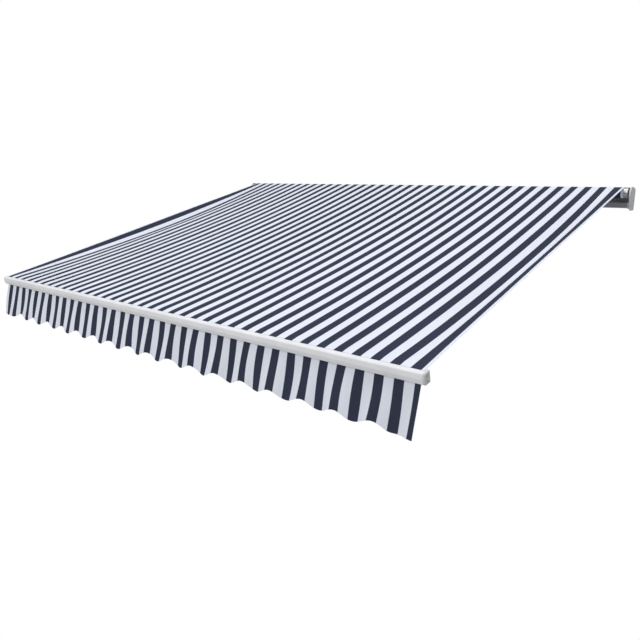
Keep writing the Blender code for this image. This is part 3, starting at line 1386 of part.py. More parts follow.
def build_roller(root, finishes):
    """The roller with its caps and the cloth left on it, about its own axis, and the crank eye."""
    frame = Matrix.Translation((0.0, ROLLER_CENTRE[0], ROLLER_CENTRE[1]))
    roller = axis("roller_axis", frame, root)
    piece("roller_tube", roller_tube(), [finishes["steel"]], roller)
    for side in (-1, 1):
        piece("roller_cap_" + side_name(side), roller_cap(side), [finishes["dark_plastic"]], roller)
    piece("fabric_roll", fabric_roll(), [finishes["pale_cloth"], finishes["dark_cloth"]], roller)
    crank = axis("crank_axis", crank_frame(), root)
    piece("crank_eye", crank_eye(), [finishes["steel"]], crank)


def build_front_bar(parent, wrist_frames, finishes):
    """The front bar with its caps, connectors, rods and valance."""
    place = Matrix.Translation((0.0, FRONT_BAR_CENTRE[0], FRONT_BAR_CENTRE[1]))
    bar = axis("front_bar_axis", place @ Matrix.Rotation(ARM_PITCH, 4, "X"), parent)
    piece("front_bar", front_bar(), [finishes["painted"]], bar)
    for side in (-1, 1):
        name = side_name(side)
        piece("front_bar_cap_" + name, front_cap(side), [finishes["plastic"]], bar)
        pivot = axis("connector_axis_" + name, wrist_frames[side], bar)
        piece("arm_connector_" + name, arm_connector(), [finishes["casting"]], pivot)
        piece("wrist_pin_" + name, wrist_pin(), [finishes["steel"]], pivot)
    top = FRONT_BAR_HEIGHT / 2.0 - KEDER_DEPTH
    canopy_rod = keder_rod((CANOPY_GROOVE_BACK, top), FABRIC_HALF)
    piece("canopy_keder", canopy_rod, [finishes["cord"]], bar)
    valance_rod = keder_rod((-VALANCE_GROOVE_FORWARD, -top), VALANCE_WIDTH / 2.0)
    piece("valance_keder", valance_rod, [finishes["cord"]], bar)
    piece("valance", valance(), [finishes["pale_cloth"], finishes["dark_cloth"]], bar)


def build():
    """Clear the scene and build the awning."""
    for old in list(bpy.data.objects):
        bpy.data.objects.remove(old)
    finishes = {
        "painted": material("painted_aluminium", (0.70, 0.70, 0.72), 0.38),
        "casting": material("painted_casting", (0.66, 0.66, 0.67), 0.45),
        "plastic": material("grey_plastic", (0.56, 0.57, 0.57), 0.48),
        "dark_plastic": material("dark_plastic", (0.06, 0.06, 0.065), 0.45),
        "steel": material("galvanised_steel", (0.58, 0.59, 0.60), 0.35, 1.0),
        "cord": material("keder_cord", (0.60, 0.60, 0.62), 0.6),
        "pale_cloth": material("pale_cloth", (0.76, 0.79, 0.88), 0.85),
        "dark_cloth": material("dark_cloth", (0.048, 0.058, 0.105), 0.85),
    }
    root = axis("wall_plane", Matrix.Identity(4))
    build_wall_pieces(root, finishes)
    build_roller(root, finishes)
    wrist_frames = {}
    left_arm, wrist_frames[-1] = build_arm(-1, root, finishes)
    _, wrist_frames[1] = build_arm(1, root, finishes)
    build_front_bar(left_arm, wrist_frames, finishes)
    piece("canopy", canopy(), [finishes["pale_cloth"], finishes["dark_cloth"]], root)


build()
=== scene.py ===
"""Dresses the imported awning: striped cloth, painted metal, moulded plastic, screws, camera and light."""

from __future__ import annotations

import json
import logging
import math
from collections.abc import Callable, Mapping, Sequence
from dataclasses import dataclass
from enum import Enum

import bmesh
import bpy
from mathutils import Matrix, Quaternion, Vector

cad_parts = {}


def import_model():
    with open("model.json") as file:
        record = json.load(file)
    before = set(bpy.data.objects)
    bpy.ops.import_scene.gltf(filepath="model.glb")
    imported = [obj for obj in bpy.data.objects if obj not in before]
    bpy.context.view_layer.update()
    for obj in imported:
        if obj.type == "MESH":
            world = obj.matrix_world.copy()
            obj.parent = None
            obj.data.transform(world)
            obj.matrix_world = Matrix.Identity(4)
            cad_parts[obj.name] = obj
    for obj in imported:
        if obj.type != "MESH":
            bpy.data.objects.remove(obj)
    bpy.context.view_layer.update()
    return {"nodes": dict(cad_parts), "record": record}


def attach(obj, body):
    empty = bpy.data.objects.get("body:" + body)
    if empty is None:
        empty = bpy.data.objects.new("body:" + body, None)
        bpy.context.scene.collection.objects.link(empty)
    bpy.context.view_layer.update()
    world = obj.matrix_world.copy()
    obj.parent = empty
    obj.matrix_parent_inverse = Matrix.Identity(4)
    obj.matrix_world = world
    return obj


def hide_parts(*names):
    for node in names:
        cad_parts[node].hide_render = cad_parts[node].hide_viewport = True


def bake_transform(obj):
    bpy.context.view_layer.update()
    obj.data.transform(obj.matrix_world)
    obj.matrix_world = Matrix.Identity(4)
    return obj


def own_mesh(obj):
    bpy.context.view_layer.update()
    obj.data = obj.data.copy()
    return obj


LOG = logging.getLogger("awning")
WHITE = (1.0, 1.0, 1.0, 1.0)

Point = tuple[float, float, float]
Colour = tuple[float, float, float]


class Finish(Enum):
    """The finishes of the awning, by the record's material slot."""

    ALUMINIUM = "painted_aluminium"
    CASTING = "painted_casting"
    GREY_PLASTIC = "grey_plastic"
    DARK_PLASTIC = "dark_plastic"
    STEEL = "galvanised_steel"
    CORD = "cord"
    CLOTH = "awning_cloth"


class Body(Enum):
    """The rigid bodies that the dressed pieces ride on."""

    WALL = "wall_frame"
    ROLLER = "roller"
    TILT = "tilt_left"
    BAR = "front_bar_group"


class Graph:
    """A node tree under construction."""

    def __init__(self, tree: bpy.types.NodeTree) -> None:
        """Keep the tree that the nodes go into.

        Args:
            tree: The tree of a material, a world or a modifier.
        """
        self.tree = tree

    def node(
        self,
        kind: str,
        settings: Mapping[str, object] | None = None,
        inputs: Mapping[str | int, object] | None = None,
    ) -> bpy.types.Node:
        """Add a node.

        Args:
            kind: The node's type.
            settings: What the node itself is set to, before its sockets.
            inputs: A value or a wire for each socket, by the socket's name or place.

        Returns:
            The new node.
        """
        node = self.tree.nodes.new(kind)
        for name, value in (settings or {}).items():
            setattr(node, name, value)
        self.feed(node, inputs or {})
        return node

    def feed(self, node: bpy.types.Node, inputs: Mapping[str | int, object]) -> None:
        """Link wires to a node's sockets, or set the sockets' values.

        Args:
            node: The node.
            inputs: A value or a wire for each socket, by the socket's name or place.
        """
        for place, value in inputs.items():
            if isinstance(value, Wire):
                self.tree.links.new(value.socket, node.inputs[place])
            else:
                node.inputs[place].default_value = value

    def wire(self, node: bpy.types.Node, output: str | int = 0) -> Wire:
        """The wire that starts at one of a node's outputs."""
        return Wire(self, node.outputs[output])

    def math(self, operation: str, *values: Wire | float) -> Wire:
        """Combine numbers.

        Args:
            operation: The name of the operation.
            values: The numbers, as wires or plain values.

        Returns:
            The result.
        """
        return self.wire(self.node("ShaderNodeMath", {"operation": operation}, dict(enumerate(values))))


class Wire:
    """A value in a node tree, with arithmetic on numbers that adds the nodes for it."""

    def __init__(self, graph: Graph, socket: bpy.types.NodeSocket) -> None:
        """Keep where the wire starts.

        Args:
            graph: The tree that the wire is in.
            socket: The output that the wire starts from.
        """
        self.graph = graph
        self.socket = socket

    def __add__(self, other: Wire | float) -> Wire:
        """The sum."""
        return self.graph.math("ADD", self, other)

    def __radd__(self, other: float) -> Wire:
        """The sum, with the plain number first."""
        return self.graph.math("ADD", other, self)

    def __sub__(self, other: Wire | float) -> Wire:
        """The difference."""
        return self.graph.math("SUBTRACT", self, other)

    def __rsub__(self, other: float) -> Wire:
        """The difference, with the plain number first."""
        return self.graph.math("SUBTRACT", other, self)

    def __mul__(self, other: Wire | float) -> Wire:
        """The product."""
        return self.graph.math("MULTIPLY", self, other)

    def __rmul__(self, other: float) -> Wire:
        """The product, with the plain number first."""
        return self.graph.math("MULTIPLY", other, self)

    def fraction(self) -> Wire:
        """What follows the decimal point."""
        return self.graph.math("FRACT", self)

    def size(self) -> Wire:
        """The value without its sign."""
        return self.graph.math("ABSOLUTE", self)

    def sine(self) -> Wire:
        """The sine of an angle in radians."""
        return self.graph.math("SINE", self)

    def ramp(self, low: float, high: float) -> Wire:
        """Change smoothly from 0 at low to 1 at high.

        Args:
            low: The value where the result starts to rise.
            high: The value where the result has risen.

        Returns:
            The result.
        """
        settings = {"interpolation_type": "SMOOTHSTEP"}
        sockets = {"Value": self, "From Min": low, "From Max": high}
        return self.graph.wire(self.graph.node("ShaderNodeMapRange", settings, sockets))


class Shader(Graph):
    """A material under construction."""

    def __init__(self, name: str) -> None:
        """Start a material with one principled shader.

        Args:
            name: The material's name.
        """
        self.material = bpy.data.materials.new(name)
        self.material.use_nodes = True
        super().__init__(self.material.node_tree)
        self.surface = self.tree.nodes["Principled BSDF"]

    def coordinates(self, output: str) -> Wire:
        """The Object or UV coordinates."""
        return self.wire(self.node("ShaderNodeTexCoord"), output)

    def noise(self, place: Wire, scale: float, detail: float = 2.0) -> Wire:
        """Soft noise between 0 and 1.

        Args:
            place: The coordinates.
            scale: How many swellings there are in a metre.
            detail: How many finer layers there are.

        Returns:
            The noise.
        """
        sockets = {"Scale": scale, "Detail": detail, "Vector": place}
        return self.wire(self.node("ShaderNodeTexNoise", inputs=sockets), "Fac")

    def mixed(self, share: Wire, first: Colour | Wire, second: Colour | Wire) -> Wire:
        """A colour between two others.

        Args:
            share: How much of the second colour there is.
            first: The first colour.
            second: The second colour.

        Returns:
            The colour.
        """
        pair = [value if isinstance(value, Wire) else (*value, 1.0) for value in (first, second)]
        sockets = {"Factor": share, 6: pair[0], 7: pair[1]}
        return self.wire(self.node("ShaderNodeMix", {"data_type": "RGBA"}, sockets), 2)

    def raised(self, height: Wire, distance: float, strength: float = 1.0) -> Wire:
        """The normal of a surface with a relief on it.

        Args:
            height: The relief, between 0 and 1.
            distance: How far 1 stands up, in metres.
            strength: How strongly the relief shows.

        Returns:
            The normal.
        """
        sockets = {"Strength": strength, "Distance": distance, "Height": height}
        return self.wire(self.node("ShaderNodeBump", inputs=sockets), "Normal")


def linear(red: int, green: int, blue: int) -> Colour:
    """Turn display values from 0 to 255 into linear light."""
    values = (red / 255.0, green / 255.0, blue / 255.0)
    return tuple(v / 12.92 if v <= 0.04045 else ((v + 0.055) / 1.055) ** 2.4 for v in values)


def shade(colour: Colour, share: float) -> Colour:
    """A lighter or darker colour."""
    return tuple(channel * share for channel in colour)


@dataclass(frozen=True)
class Coating:
    """A painted, plated or moulded surface.

    Args:
        slot: The finish that the coating stands for.
        colour: The base colour in linear light.
        roughness: The mean roughness.
        roughness_spread: How much the roughness varies from place to place.
        metallic: 1 for bare metal, else 0.
        grain_size: The size of the surface's grain in metres.
        grain_height: How far the grain stands up in metres.
        coat: The strength of the clear top layer.
        dust: How strongly dust darkens the colour.
        clouds: How many patches of dust there are in a metre.
    """

    slot: Finish
    colour: Colour
    roughness: float
    roughness_spread: float = 0.08
    metallic: float = 0.0
    grain_size: float = 0.0012
    grain_height: float = 0.00002
    coat: float = 0.0
    dust: float = 0.05
    clouds: float = 7.0

    def material(self) -> bpy.types.Material:
        """Make the material, with grain, uneven gloss and a little dust.

        Returns:
            The material.
        """
        shader = Shader(self.slot.value)
        place = shader.coordinates("Object")
        cloud = shader.noise(place, self.clouds, detail=3.0)
        speck = shader.noise(place, 1.0 / self.grain_size)
        dusty = shade(self.colour, 1.0 - 2.0 * self.dust)
        sockets = {
            "Base Color": shader.mixed(cloud.ramp(0.25, 0.85), self.colour, dusty),
            "Roughness": (self.roughness - self.roughness_spread) + 2.0 * self.roughness_spread * cloud,
            "Normal": shader.raised(speck, self.grain_height),
            "Metallic": self.metallic,
            "Coat Weight": self.coat,
        }
        shader.feed(shader.surface, sockets)
        return shader.material


@dataclass(frozen=True)
class Weave:
    """The look of the woven cloth. Its UV map runs across in stripe pitches and along in metres.

    Args:
        pale: Colour of the pale stripes in linear light.
        dark: Colour of the dark stripes in linear light.
        thread: Distance from thread to thread in metres.
        relief: How far the threads stand up in metres.
        roughness: The cloth's roughness.
        gloss: The cloth's specular level.
        edge: Width of the change between two stripes, in stripe pitches.
        clouds: How many soft stains there are in a metre.
        specks: How many fine specks there are in a metre.
    """

    pale: Colour
    dark: Colour
    thread: float = 0.0011
    relief: float = 0.00012
    roughness: float = 0.86
    gloss: float = 0.12
    edge: float = 0.012
    clouds: float = 1.7
    specks: float = 240.0

    def material(self, stripe_pitch: float) -> bpy.types.Material:
        """Make the material.

        Args:
            stripe_pitch: The distance from one dark stripe to the next, in metres.

        Returns:
            The material.
        """
        shader = Shader(Finish.CLOTH.value)
        split = shader.node("ShaderNodeSeparateXYZ", inputs={0: shader.coordinates("UV")})
        across = shader.wire(split, "X")
        along = shader.wire(split, "Y")
        whole_pitches = 200.5
        distance = ((across + whole_pitches).fraction() - 0.5).size()
        pale_share = distance.ramp(0.25 - self.edge, 0.25 + self.edge)
        place = shader.coordinates("Object")
        cloud = shader.noise(place, self.clouds, detail=4.0)
        speck = shader.noise(place, self.specks)
        tone = (0.6 * cloud + 0.4 * speck).ramp(0.2, 0.8)
        pale = shader.mixed(tone, shade(self.pale, 0.94), self.pale)
        dark = shader.mixed(tone, shade(self.dark, 0.85), shade(self.dark, 1.12))
        warp = (across * (math.tau * stripe_pitch / self.thread)).sine()
        weft = (along * (math.tau / self.thread)).sine()
        sockets = {
            "Base Color": shader.mixed(pale_share, dark, pale),
            "Normal": shader.raised(0.5 + 0.5 * warp * weft, self.relief, strength=0.6),
            "Roughness": self.roughness,
            "Specular IOR Level": self.gloss,
        }
        shader.feed(shader.surface, sockets)
        return shader.material


COATINGS = (
    Coating(Finish.ALUMINIUM, linear(243, 243, 245), roughness=0.36, coat=0.15),
    Coating(Finish.CASTING, linear(226, 227, 230), roughness=0.46, grain_size=0.0018, grain_height=5e-5),
    Coating(Finish.GREY_PLASTIC, linear(218, 219, 220), roughness=0.48, grain_size=0.0009, grain_height=3e-5),
    Coating(Finish.DARK_PLASTIC, linear(118, 119, 121), roughness=0.46, grain_size=0.0009, grain_height=3e-5),
    Coating(Finish.STEEL, linear(190, 192, 194), 0.34, roughness_spread=0.1, metallic=1.0, dust=0.08),
    Coating(Finish.CORD, linear(196, 196, 198), roughness=0.60),
)
WEAVE = Weave(pale=linear(232, 236, 246), dark=linear(52, 57, 75))


@dataclass(frozen=True)
class Awning:
    """The sizes and places that more than one piece needs, in metres and degrees.

    Args:
        stripe_pitch: The distance from one dark stripe to the next.
        cloth_thickness: The thickness of the cloth.
        fabric_width: The width of the canopy's cloth.
        canopy_pitch: The slope of the canopy.
        canopy_rear: The y and z of the line where the canopy leaves the roller.
        arm_pitch: The slope of the arms' plane, which the front bar leans with.
        fold_travel: How far the bar moves when the arms fold.
        bar_centre: The y and z of the middle of the bar's section.
        bar_length: The length of the bar without its caps.
        bar_height: The height of the bar.
        bar_cap: The thickness of an end cap and its gap.
        plate_outer: The x of a side plate's outer face.
    """

    stripe_pitch: float = 0.1057
    cloth_thickness: float = 0.0007
    fabric_width: float = 3.890
    canopy_pitch: float = 14.2
    canopy_rear: tuple[float, float] = (-0.116821, 0.134050)
    arm_pitch: float = 11.9928
    fold_travel: float = 2.6369
    bar_centre: tuple[float, float] = (-2.978359, -0.620223)
    bar_length: float = 3.900
    bar_height: float = 0.058
    bar_cap: float = 0.0103
    plate_outer: float = 2.0003

    def on_bar(self, x: float, back: float, up: float) -> Vector:
        """A point of the front bar's section, which leans with the arms.

        Args:
            x: The place along the bar.
            back: The distance behind the section's middle.
            up: The height above it.

        Returns:
            The point in the row frame.
        """
        lean = math.radians(self.arm_pitch)
        y = self.bar_centre[0] + back * math.cos(lean) - up * math.sin(lean)
        z = self.bar_centre[1] + back * math.sin(lean) + up * math.cos(lean)
        return Vector((x, y, z))

    def turns(self, x: float) -> float:
        """The distance from the middle in stripe pitches."""
        return x / self.stripe_pitch

    def stations(self, width: float, per_pitch: int) -> list[float]:
        """Evenly spread places across a cloth, with one on each edge.

        Args:
            width: The cloth's width.
            per_pitch: How many places there are for each stripe pitch.

        Returns:
            The x of each place.
        """
        count = round(width / self.stripe_pitch * per_pitch)
        return [width * (index / count - 0.5) for index in range(count + 1)]


@dataclass(frozen=True)
class Wave:
    """A soft wave in the cloth.

    Args:
        size: How far it swings to each side.
        across: Its angle for each stripe pitch across, in radians.
        along: Its angle from one end of the cloth to the other, in radians.
        start: Its angle in the middle at the first end, in radians.
    """

    size: float
    across: float
    along: float = 0.0
    start: float = 0.0

    def at(self, turn: float, share: float) -> float:
        """How far the wave swings at a place.

        Args:
            turn: The distance from the middle in stripe pitches.
            share: The place along the cloth, from 0 to 1.

        Returns:
            The swing.
        """
        return self.size * math.sin(self.across * turn + self.along * share + self.start)


@dataclass
class Grid:
    """A sheet given by a surface over two lists of places.

    Args:
        name: The name of the piece.
        columns: The places across the sheet.
        rows: The places along the sheet.
        surface: The point in the row frame for a column and a row.
        thickness: The sheet's thickness.
        uv: The place on the flat cloth for a column and a row.
        material: The sheet's material.
    """

    name: str
    columns: Sequence[float]
    rows: Sequence[float]
    surface: Callable[[float, float], Vector]
    thickness: float
    uv: Callable[[float, float], tuple[float, float]]
    material: bpy.types.Material

    def build(self) -> bpy.types.Object:
        """Make the closed two-sided sheet, smooth, with its UV map.

        Returns:
            The finished object at the origin.
        """
        points = [[self.surface(column, row) for row in self.rows] for column in self.columns]
        shape = bmesh.new()
        layer = shape.loops.layers.uv.new("cloth")
        upper, lower = (self._side(shape, points, share * self.thickness) for share in (0.5, -0.5))
        last_column = len(self.columns) - 1
        last_row = len(self.rows) - 1
        for i in range(last_column):
            for j in range(last_row):
                corners = ((i, j), (i + 1, j), (i + 1, j + 1), (i, j + 1))
                self._face(shape, layer, [(upper, corner) for corner in corners])
                self._face(shape, layer, [(lower, corner) for corner in reversed(corners)])
        for i in range(last_column):
            self._edge(shape, layer, upper, lower, (i + 1, 0), (i, 0))
            self._edge(shape, layer, upper, lower, (i, last_row), (i + 1, last_row))
        for j in range(last_row):
            self._edge(shape, layer, upper, lower, (0, j), (0, j + 1))
            self._edge(shape, layer, upper, lower, (last_column, j + 1), (last_column, j))
        return finished(self.name, shape, self.material, sharp_degrees=60.0)

    def _side(self, shape: bmesh.types.BMesh, points: list[list[Vector]], offset: float) -> list:
        """Add the corners of one side of the sheet.

        Args:
            shape: The shape under construction.
            points: The middle surface's points, by column and row.
            offset: How far the side is from the middle surface.

        Returns:
            The corners, by column and row.
        """
        side = []
        for i, line in enumerate(points):
            shifted = [point + self._normal(points, i, j) * offset for j, point in enumerate(line)]
            side.append([shape.verts.new(point) for point in shifted])
        return side

    @staticmethod
    def _normal(points: list[list[Vector]], i: int, j: int) -> Vector:
        """The direction that the surface faces at one place.

        Args:
            points: The surface's points, by column and row.
            i: The column.
            j: The row.

        Returns:
            A direction of length 1.
        """
        before = points[max(i - 1, 0)][j]
        after = points[min(i + 1, len(points) - 1)][j]
        below = points[i][max(j - 1, 0)]
        above = points[i][min(j + 1, len(points[i]) - 1)]
        return (after - before).cross(above - below).normalized()

    def _face(
        self, shape: bmesh.types.BMesh, layer: bmesh.types.BMLayerItem, corners: Sequence[tuple]
    ) -> None:
        """Add one face with its places on the flat cloth.

        Args:
            shape: The shape under construction.
            layer: Its UV map.
            corners: The side and the column and row of each corner.
        """
        face = shape.faces.new([side[i][j] for side, (i, j) in corners])
        for loop, (_, (i, j)) in zip(face.loops, corners):
            loop[layer].uv = self.uv(self.columns[i], self.rows[j])

    def _edge(
        self,
        shape: bmesh.types.BMesh,
        layer: bmesh.types.BMLayerItem,
        upper: list,
        lower: list,
        first: tuple[int, int],
        second: tuple[int, int],
    ) -> None:
        """Close the sheet between its two sides along one edge."""
        self._face(shape, layer, ((upper, first), (upper, second), (lower, second), (lower, first)))

    def area(self) -> float:
        """The area of one side of the sheet.

        Returns:
            The area in square metres.
        """
        points = [[self.surface(column, row) for row in self.rows] for column in self.columns]
        total = 0.0
        for near, far in zip(points, points[1:]):
            for j in range(len(near) - 1):
                first = (far[j] - near[j]).cross(near[j + 1] - near[j]).length
                second = (far[j] - far[j + 1]).cross(near[j + 1] - far[j + 1]).length
                total += (first + second) / 2.0
        return total


def finished(
    name: str, shape: bmesh.types.BMesh, material: bpy.types.Material | None, sharp_degrees: float
) -> bpy.types.Object:
    """Turn a shape into an object with smooth faces and sharp edges.

    Args:
        name: The name of the object.
        shape: The shape, which is freed.
        material: The material, if the object gets one.
        sharp_degrees: The angle from which an edge stays sharp.

    Returns:
        The object, at the origin and outside the scene.
    """
    mesh = bpy.data.meshes.new(name)
    bmesh.ops.recalc_face_normals(shape, faces=shape.faces)
    shape.to_mesh(mesh)
    shape.free()
    mesh.shade_smooth()
    mesh.set_sharp_from_angle(angle=math.radians(sharp_degrees))
    if material:
        mesh.materials.append(material)
    return bpy.data.objects.new(name, mesh)


def show(piece: bpy.types.Object) -> None:
    """Put an object into the scene."""
    bpy.context.scene.collection.objects.link(piece)


@dataclass
class Canopy:
    """The striped cloth from the roller to the front bar, in three sheets.

    Args:
        awning: The awning's shared sizes.
        material: The cloth.
        length: The length from the roller to the bar's groove.
        sag: How far the middle hangs through.
        taut_edge: How far from each side edge the cloth still hangs less.
        seam_sag: How much further it hangs beside its side seams.
        seam_inset: The distance of that place from the edge.
        seam_reach: How wide that place is.
        strip_length: The length of the strip by the roller.
        over_bar: The length that lies on the bar.
        groove: How far behind the middle of the bar the groove is.
        lip: The height above the bar where the cloth turns down.
        tuck: The length in the groove.
        waist: How far the side edges are pulled in.
        slack: The two waves that make the canopy uneven.
        pucker: The wave by the bar, which ends at the bar.
    """

    awning: Awning
    material: bpy.types.Material
    length: float = 2.950
    sag: float = 0.039
    taut_edge: float = 0.110
    seam_sag: float = 0.014
    seam_inset: float = 0.140
    seam_reach: float = 0.090
    strip_length: float = 0.100
    over_bar: float = 0.040
    groove: float = 0.008
    lip: float = 0.0009
    tuck: float = 0.004
    waist: float = 0.003
    slack: tuple[Wave, Wave] = (Wave(0.0022, 1.3, 2.1), Wave(1.0, 0.21, 7.0))
    pucker: Wave = Wave(0.032, 2.3)

    def point(self, x: float, along: float) -> Vector:
        """The canopy's surface between the roller and the bar.

        Args:
            x: The place across the awning.
            along: The distance from the roller.

        Returns:
            The point in the row frame.
        """
        awning = self.awning
        pitch = math.radians(awning.canopy_pitch)
        turn = awning.turns(x)
        share = min(along / (self.length - self.over_bar), 1.0)
        arch = 4.0 * share * (1.0 - share)
        inset = awning.fabric_width / 2.0 - abs(x)
        hung = min(max(inset / self.taut_edge, 0.0), 1.0)
        hung = hung * hung * (3.0 - 2.0 * hung)
        seam = math.exp(-(((inset - self.seam_inset) / self.seam_reach) ** 2))
        down = (self.sag + self.seam_sag * seam) * hung * arch - awning.cloth_thickness / 2.0
        down += self.slack[0].at(turn, share) * self.slack[1].at(turn, share) * arch
        down += self.pucker.at(turn, share) * share ** 6 * (1.0 - share)
        y = awning.canopy_rear[0] - math.cos(pitch) * along + math.sin(pitch) * down
        z = awning.canopy_rear[1] - math.sin(pitch) * along - math.cos(pitch) * down
        pull = self.waist * (2.0 * abs(x) / awning.fabric_width) ** 6 * arch
        return Vector((x - math.copysign(pull, x), y, z))

    def end_point(self, x: float, along: float) -> Vector:
        """The canopy's surface on the bar, with its end turned down into the groove.

        Args:
            x: The place across the awning.
            along: The distance from the roller.

        Returns:
            The point in the row frame.
        """
        over = along - self.length
        if over <= -1e-6:
            return self.point(x, along)
        return self.awning.on_bar(x, self.groove, self.awning.bar_height / 2.0 + self.lip - over)

    def build(self) -> None:
        """Make the strip by the roller, the sheet that rides on the tilt and the end that lies on the bar."""
        awning = self.awning
        on_bar_from = self.length - self.over_bar
        sheet_length = on_bar_from - self.strip_length
        strip_steps, sheet_steps, end_steps = 6, 56, 10
        strip_rows = [self.strip_length * index / strip_steps for index in range(strip_steps + 1)]
        sheet_rows = [
            self.strip_length + sheet_length * index / sheet_steps for index in range(sheet_steps + 1)
        ]
        end_rows = [
            self.length - self.over_bar * (end_steps - index) / end_steps for index in range(end_steps)
        ]
        end_rows += [self.length + past for past in (-0.001, 0.0, 0.0015, self.tuck)]
        strip = self._sheet("canopy_strip", strip_rows, self.point)
        sheet = self._sheet("canopy_sheet", sheet_rows, self.point)
        end = self._sheet("canopy_end", end_rows, self.end_point)

        pitch = math.radians(awning.canopy_pitch)
        slope = math.radians(awning.arm_pitch)
        along_canopy = Vector((0.0, -math.cos(pitch), -math.sin(pitch)))
        along_arms = Vector((0.0, -math.cos(slope), -math.sin(slope)))
        strip_start = Vector((0.0, *awning.canopy_rear))
        strip_end = strip_start + along_canopy * self.strip_length
        reach = (self.point(0.0, on_bar_from) - self.point(0.0, self.length)).dot(along_arms)
        reach += (awning.on_bar(0.0, self.groove, awning.bar_height / 2.0) - strip_end).dot(along_arms)
        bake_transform(strip)
        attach(sheet, Body.TILT.value)
        1.0 - awning.fold_travel / reach
        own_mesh(sheet)
        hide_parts("canopy")
        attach(end, Body.BAR.value)
        self.over_bar + self.tuck
        for piece in (strip, sheet, end):
            LOG.info("made %s", piece.name)

    def _sheet(
        self, name: str, rows: Sequence[float], surface: Callable[[float, float], Vector]
    ) -> bpy.types.Object:
        """Make one sheet of the canopy.

        Args:
            name: The name of the sheet.
            rows: The distances from the roller.
            surface: The point for a place across and a distance.

        Returns:
            The sheet, in the scene.
        """
        awning = self.awning
        columns = awning.stations(awning.fabric_width, per_pitch=6)
        made = Grid(
            name, columns, rows, surface, awning.cloth_thickness,
            lambda x, along: (awning.turns(x), along), self.material,
        ).build()
        show(made)
        return made


@dataclass
class RollerCloth:
    """The turns of cloth that are left on the roller.

    Args:
        awning: The awning's shared sizes.
        material: The cloth.
        centre: The y and z of the roller's middle.
        inner_radius: The radius of the roller.
        build_up: How thick the turns of cloth are together.
        turns: How many turns there are.
        sheet_thickness: The thickness of the modelled sheet, with a gap between its turns.
        leaving_slope: How much steeper than the canopy the cloth leaves the roller, in degrees.
    """

    awning: Awning
    material: bpy.types.Material
    centre: tuple[float, float] = (-0.105, 0.095)
    inner_radius: float = 0.0393
    build_up: float = 0.0012
    turns: float = 1.6
    sheet_thickness: float = 0.0004
    leaving_slope: float = 2.6

    def build(self) -> None:
        """Make the cloth as a spiral."""
        awning = self.awning
        inner = self.inner_radius + awning.cloth_thickness / 2.0
        outer = self.inner_radius + self.build_up - awning.cloth_thickness / 2.0
        leaving = math.radians(awning.canopy_pitch + 90.0 + self.leaving_slope)

        def wound(x: float, turn: float) -> Vector:
            """The spiral's surface.

            Args:
                x: The place across the awning.
                turn: How many turns the cloth has made.

            Returns:
                The point in the row frame.
            """
            radius = inner + (outer - inner) * (1.0 - turn / self.turns)
            angle = leaving - math.tau * turn
            y = self.centre[0] + radius * math.cos(angle)
            return Vector((x, y, self.centre[1] + radius * math.sin(angle)))

        steps = 72
        rows = [self.turns * index / steps for index in range(steps + 1)]
        length = math.tau * (inner + outer) / 2.0 * self.turns
        roll = Grid(
            "cloth_on_roller", awning.stations(awning.fabric_width, per_pitch=2), rows, wound,
            self.sheet_thickness, lambda x, turn: (awning.turns(x), turn * length / self.turns),
            self.material,
        ).build()
        show(roll)
        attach(roll, Body.ROLLER.value)
        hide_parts("fabric_roll")
        LOG.info("made %s", roll.name)


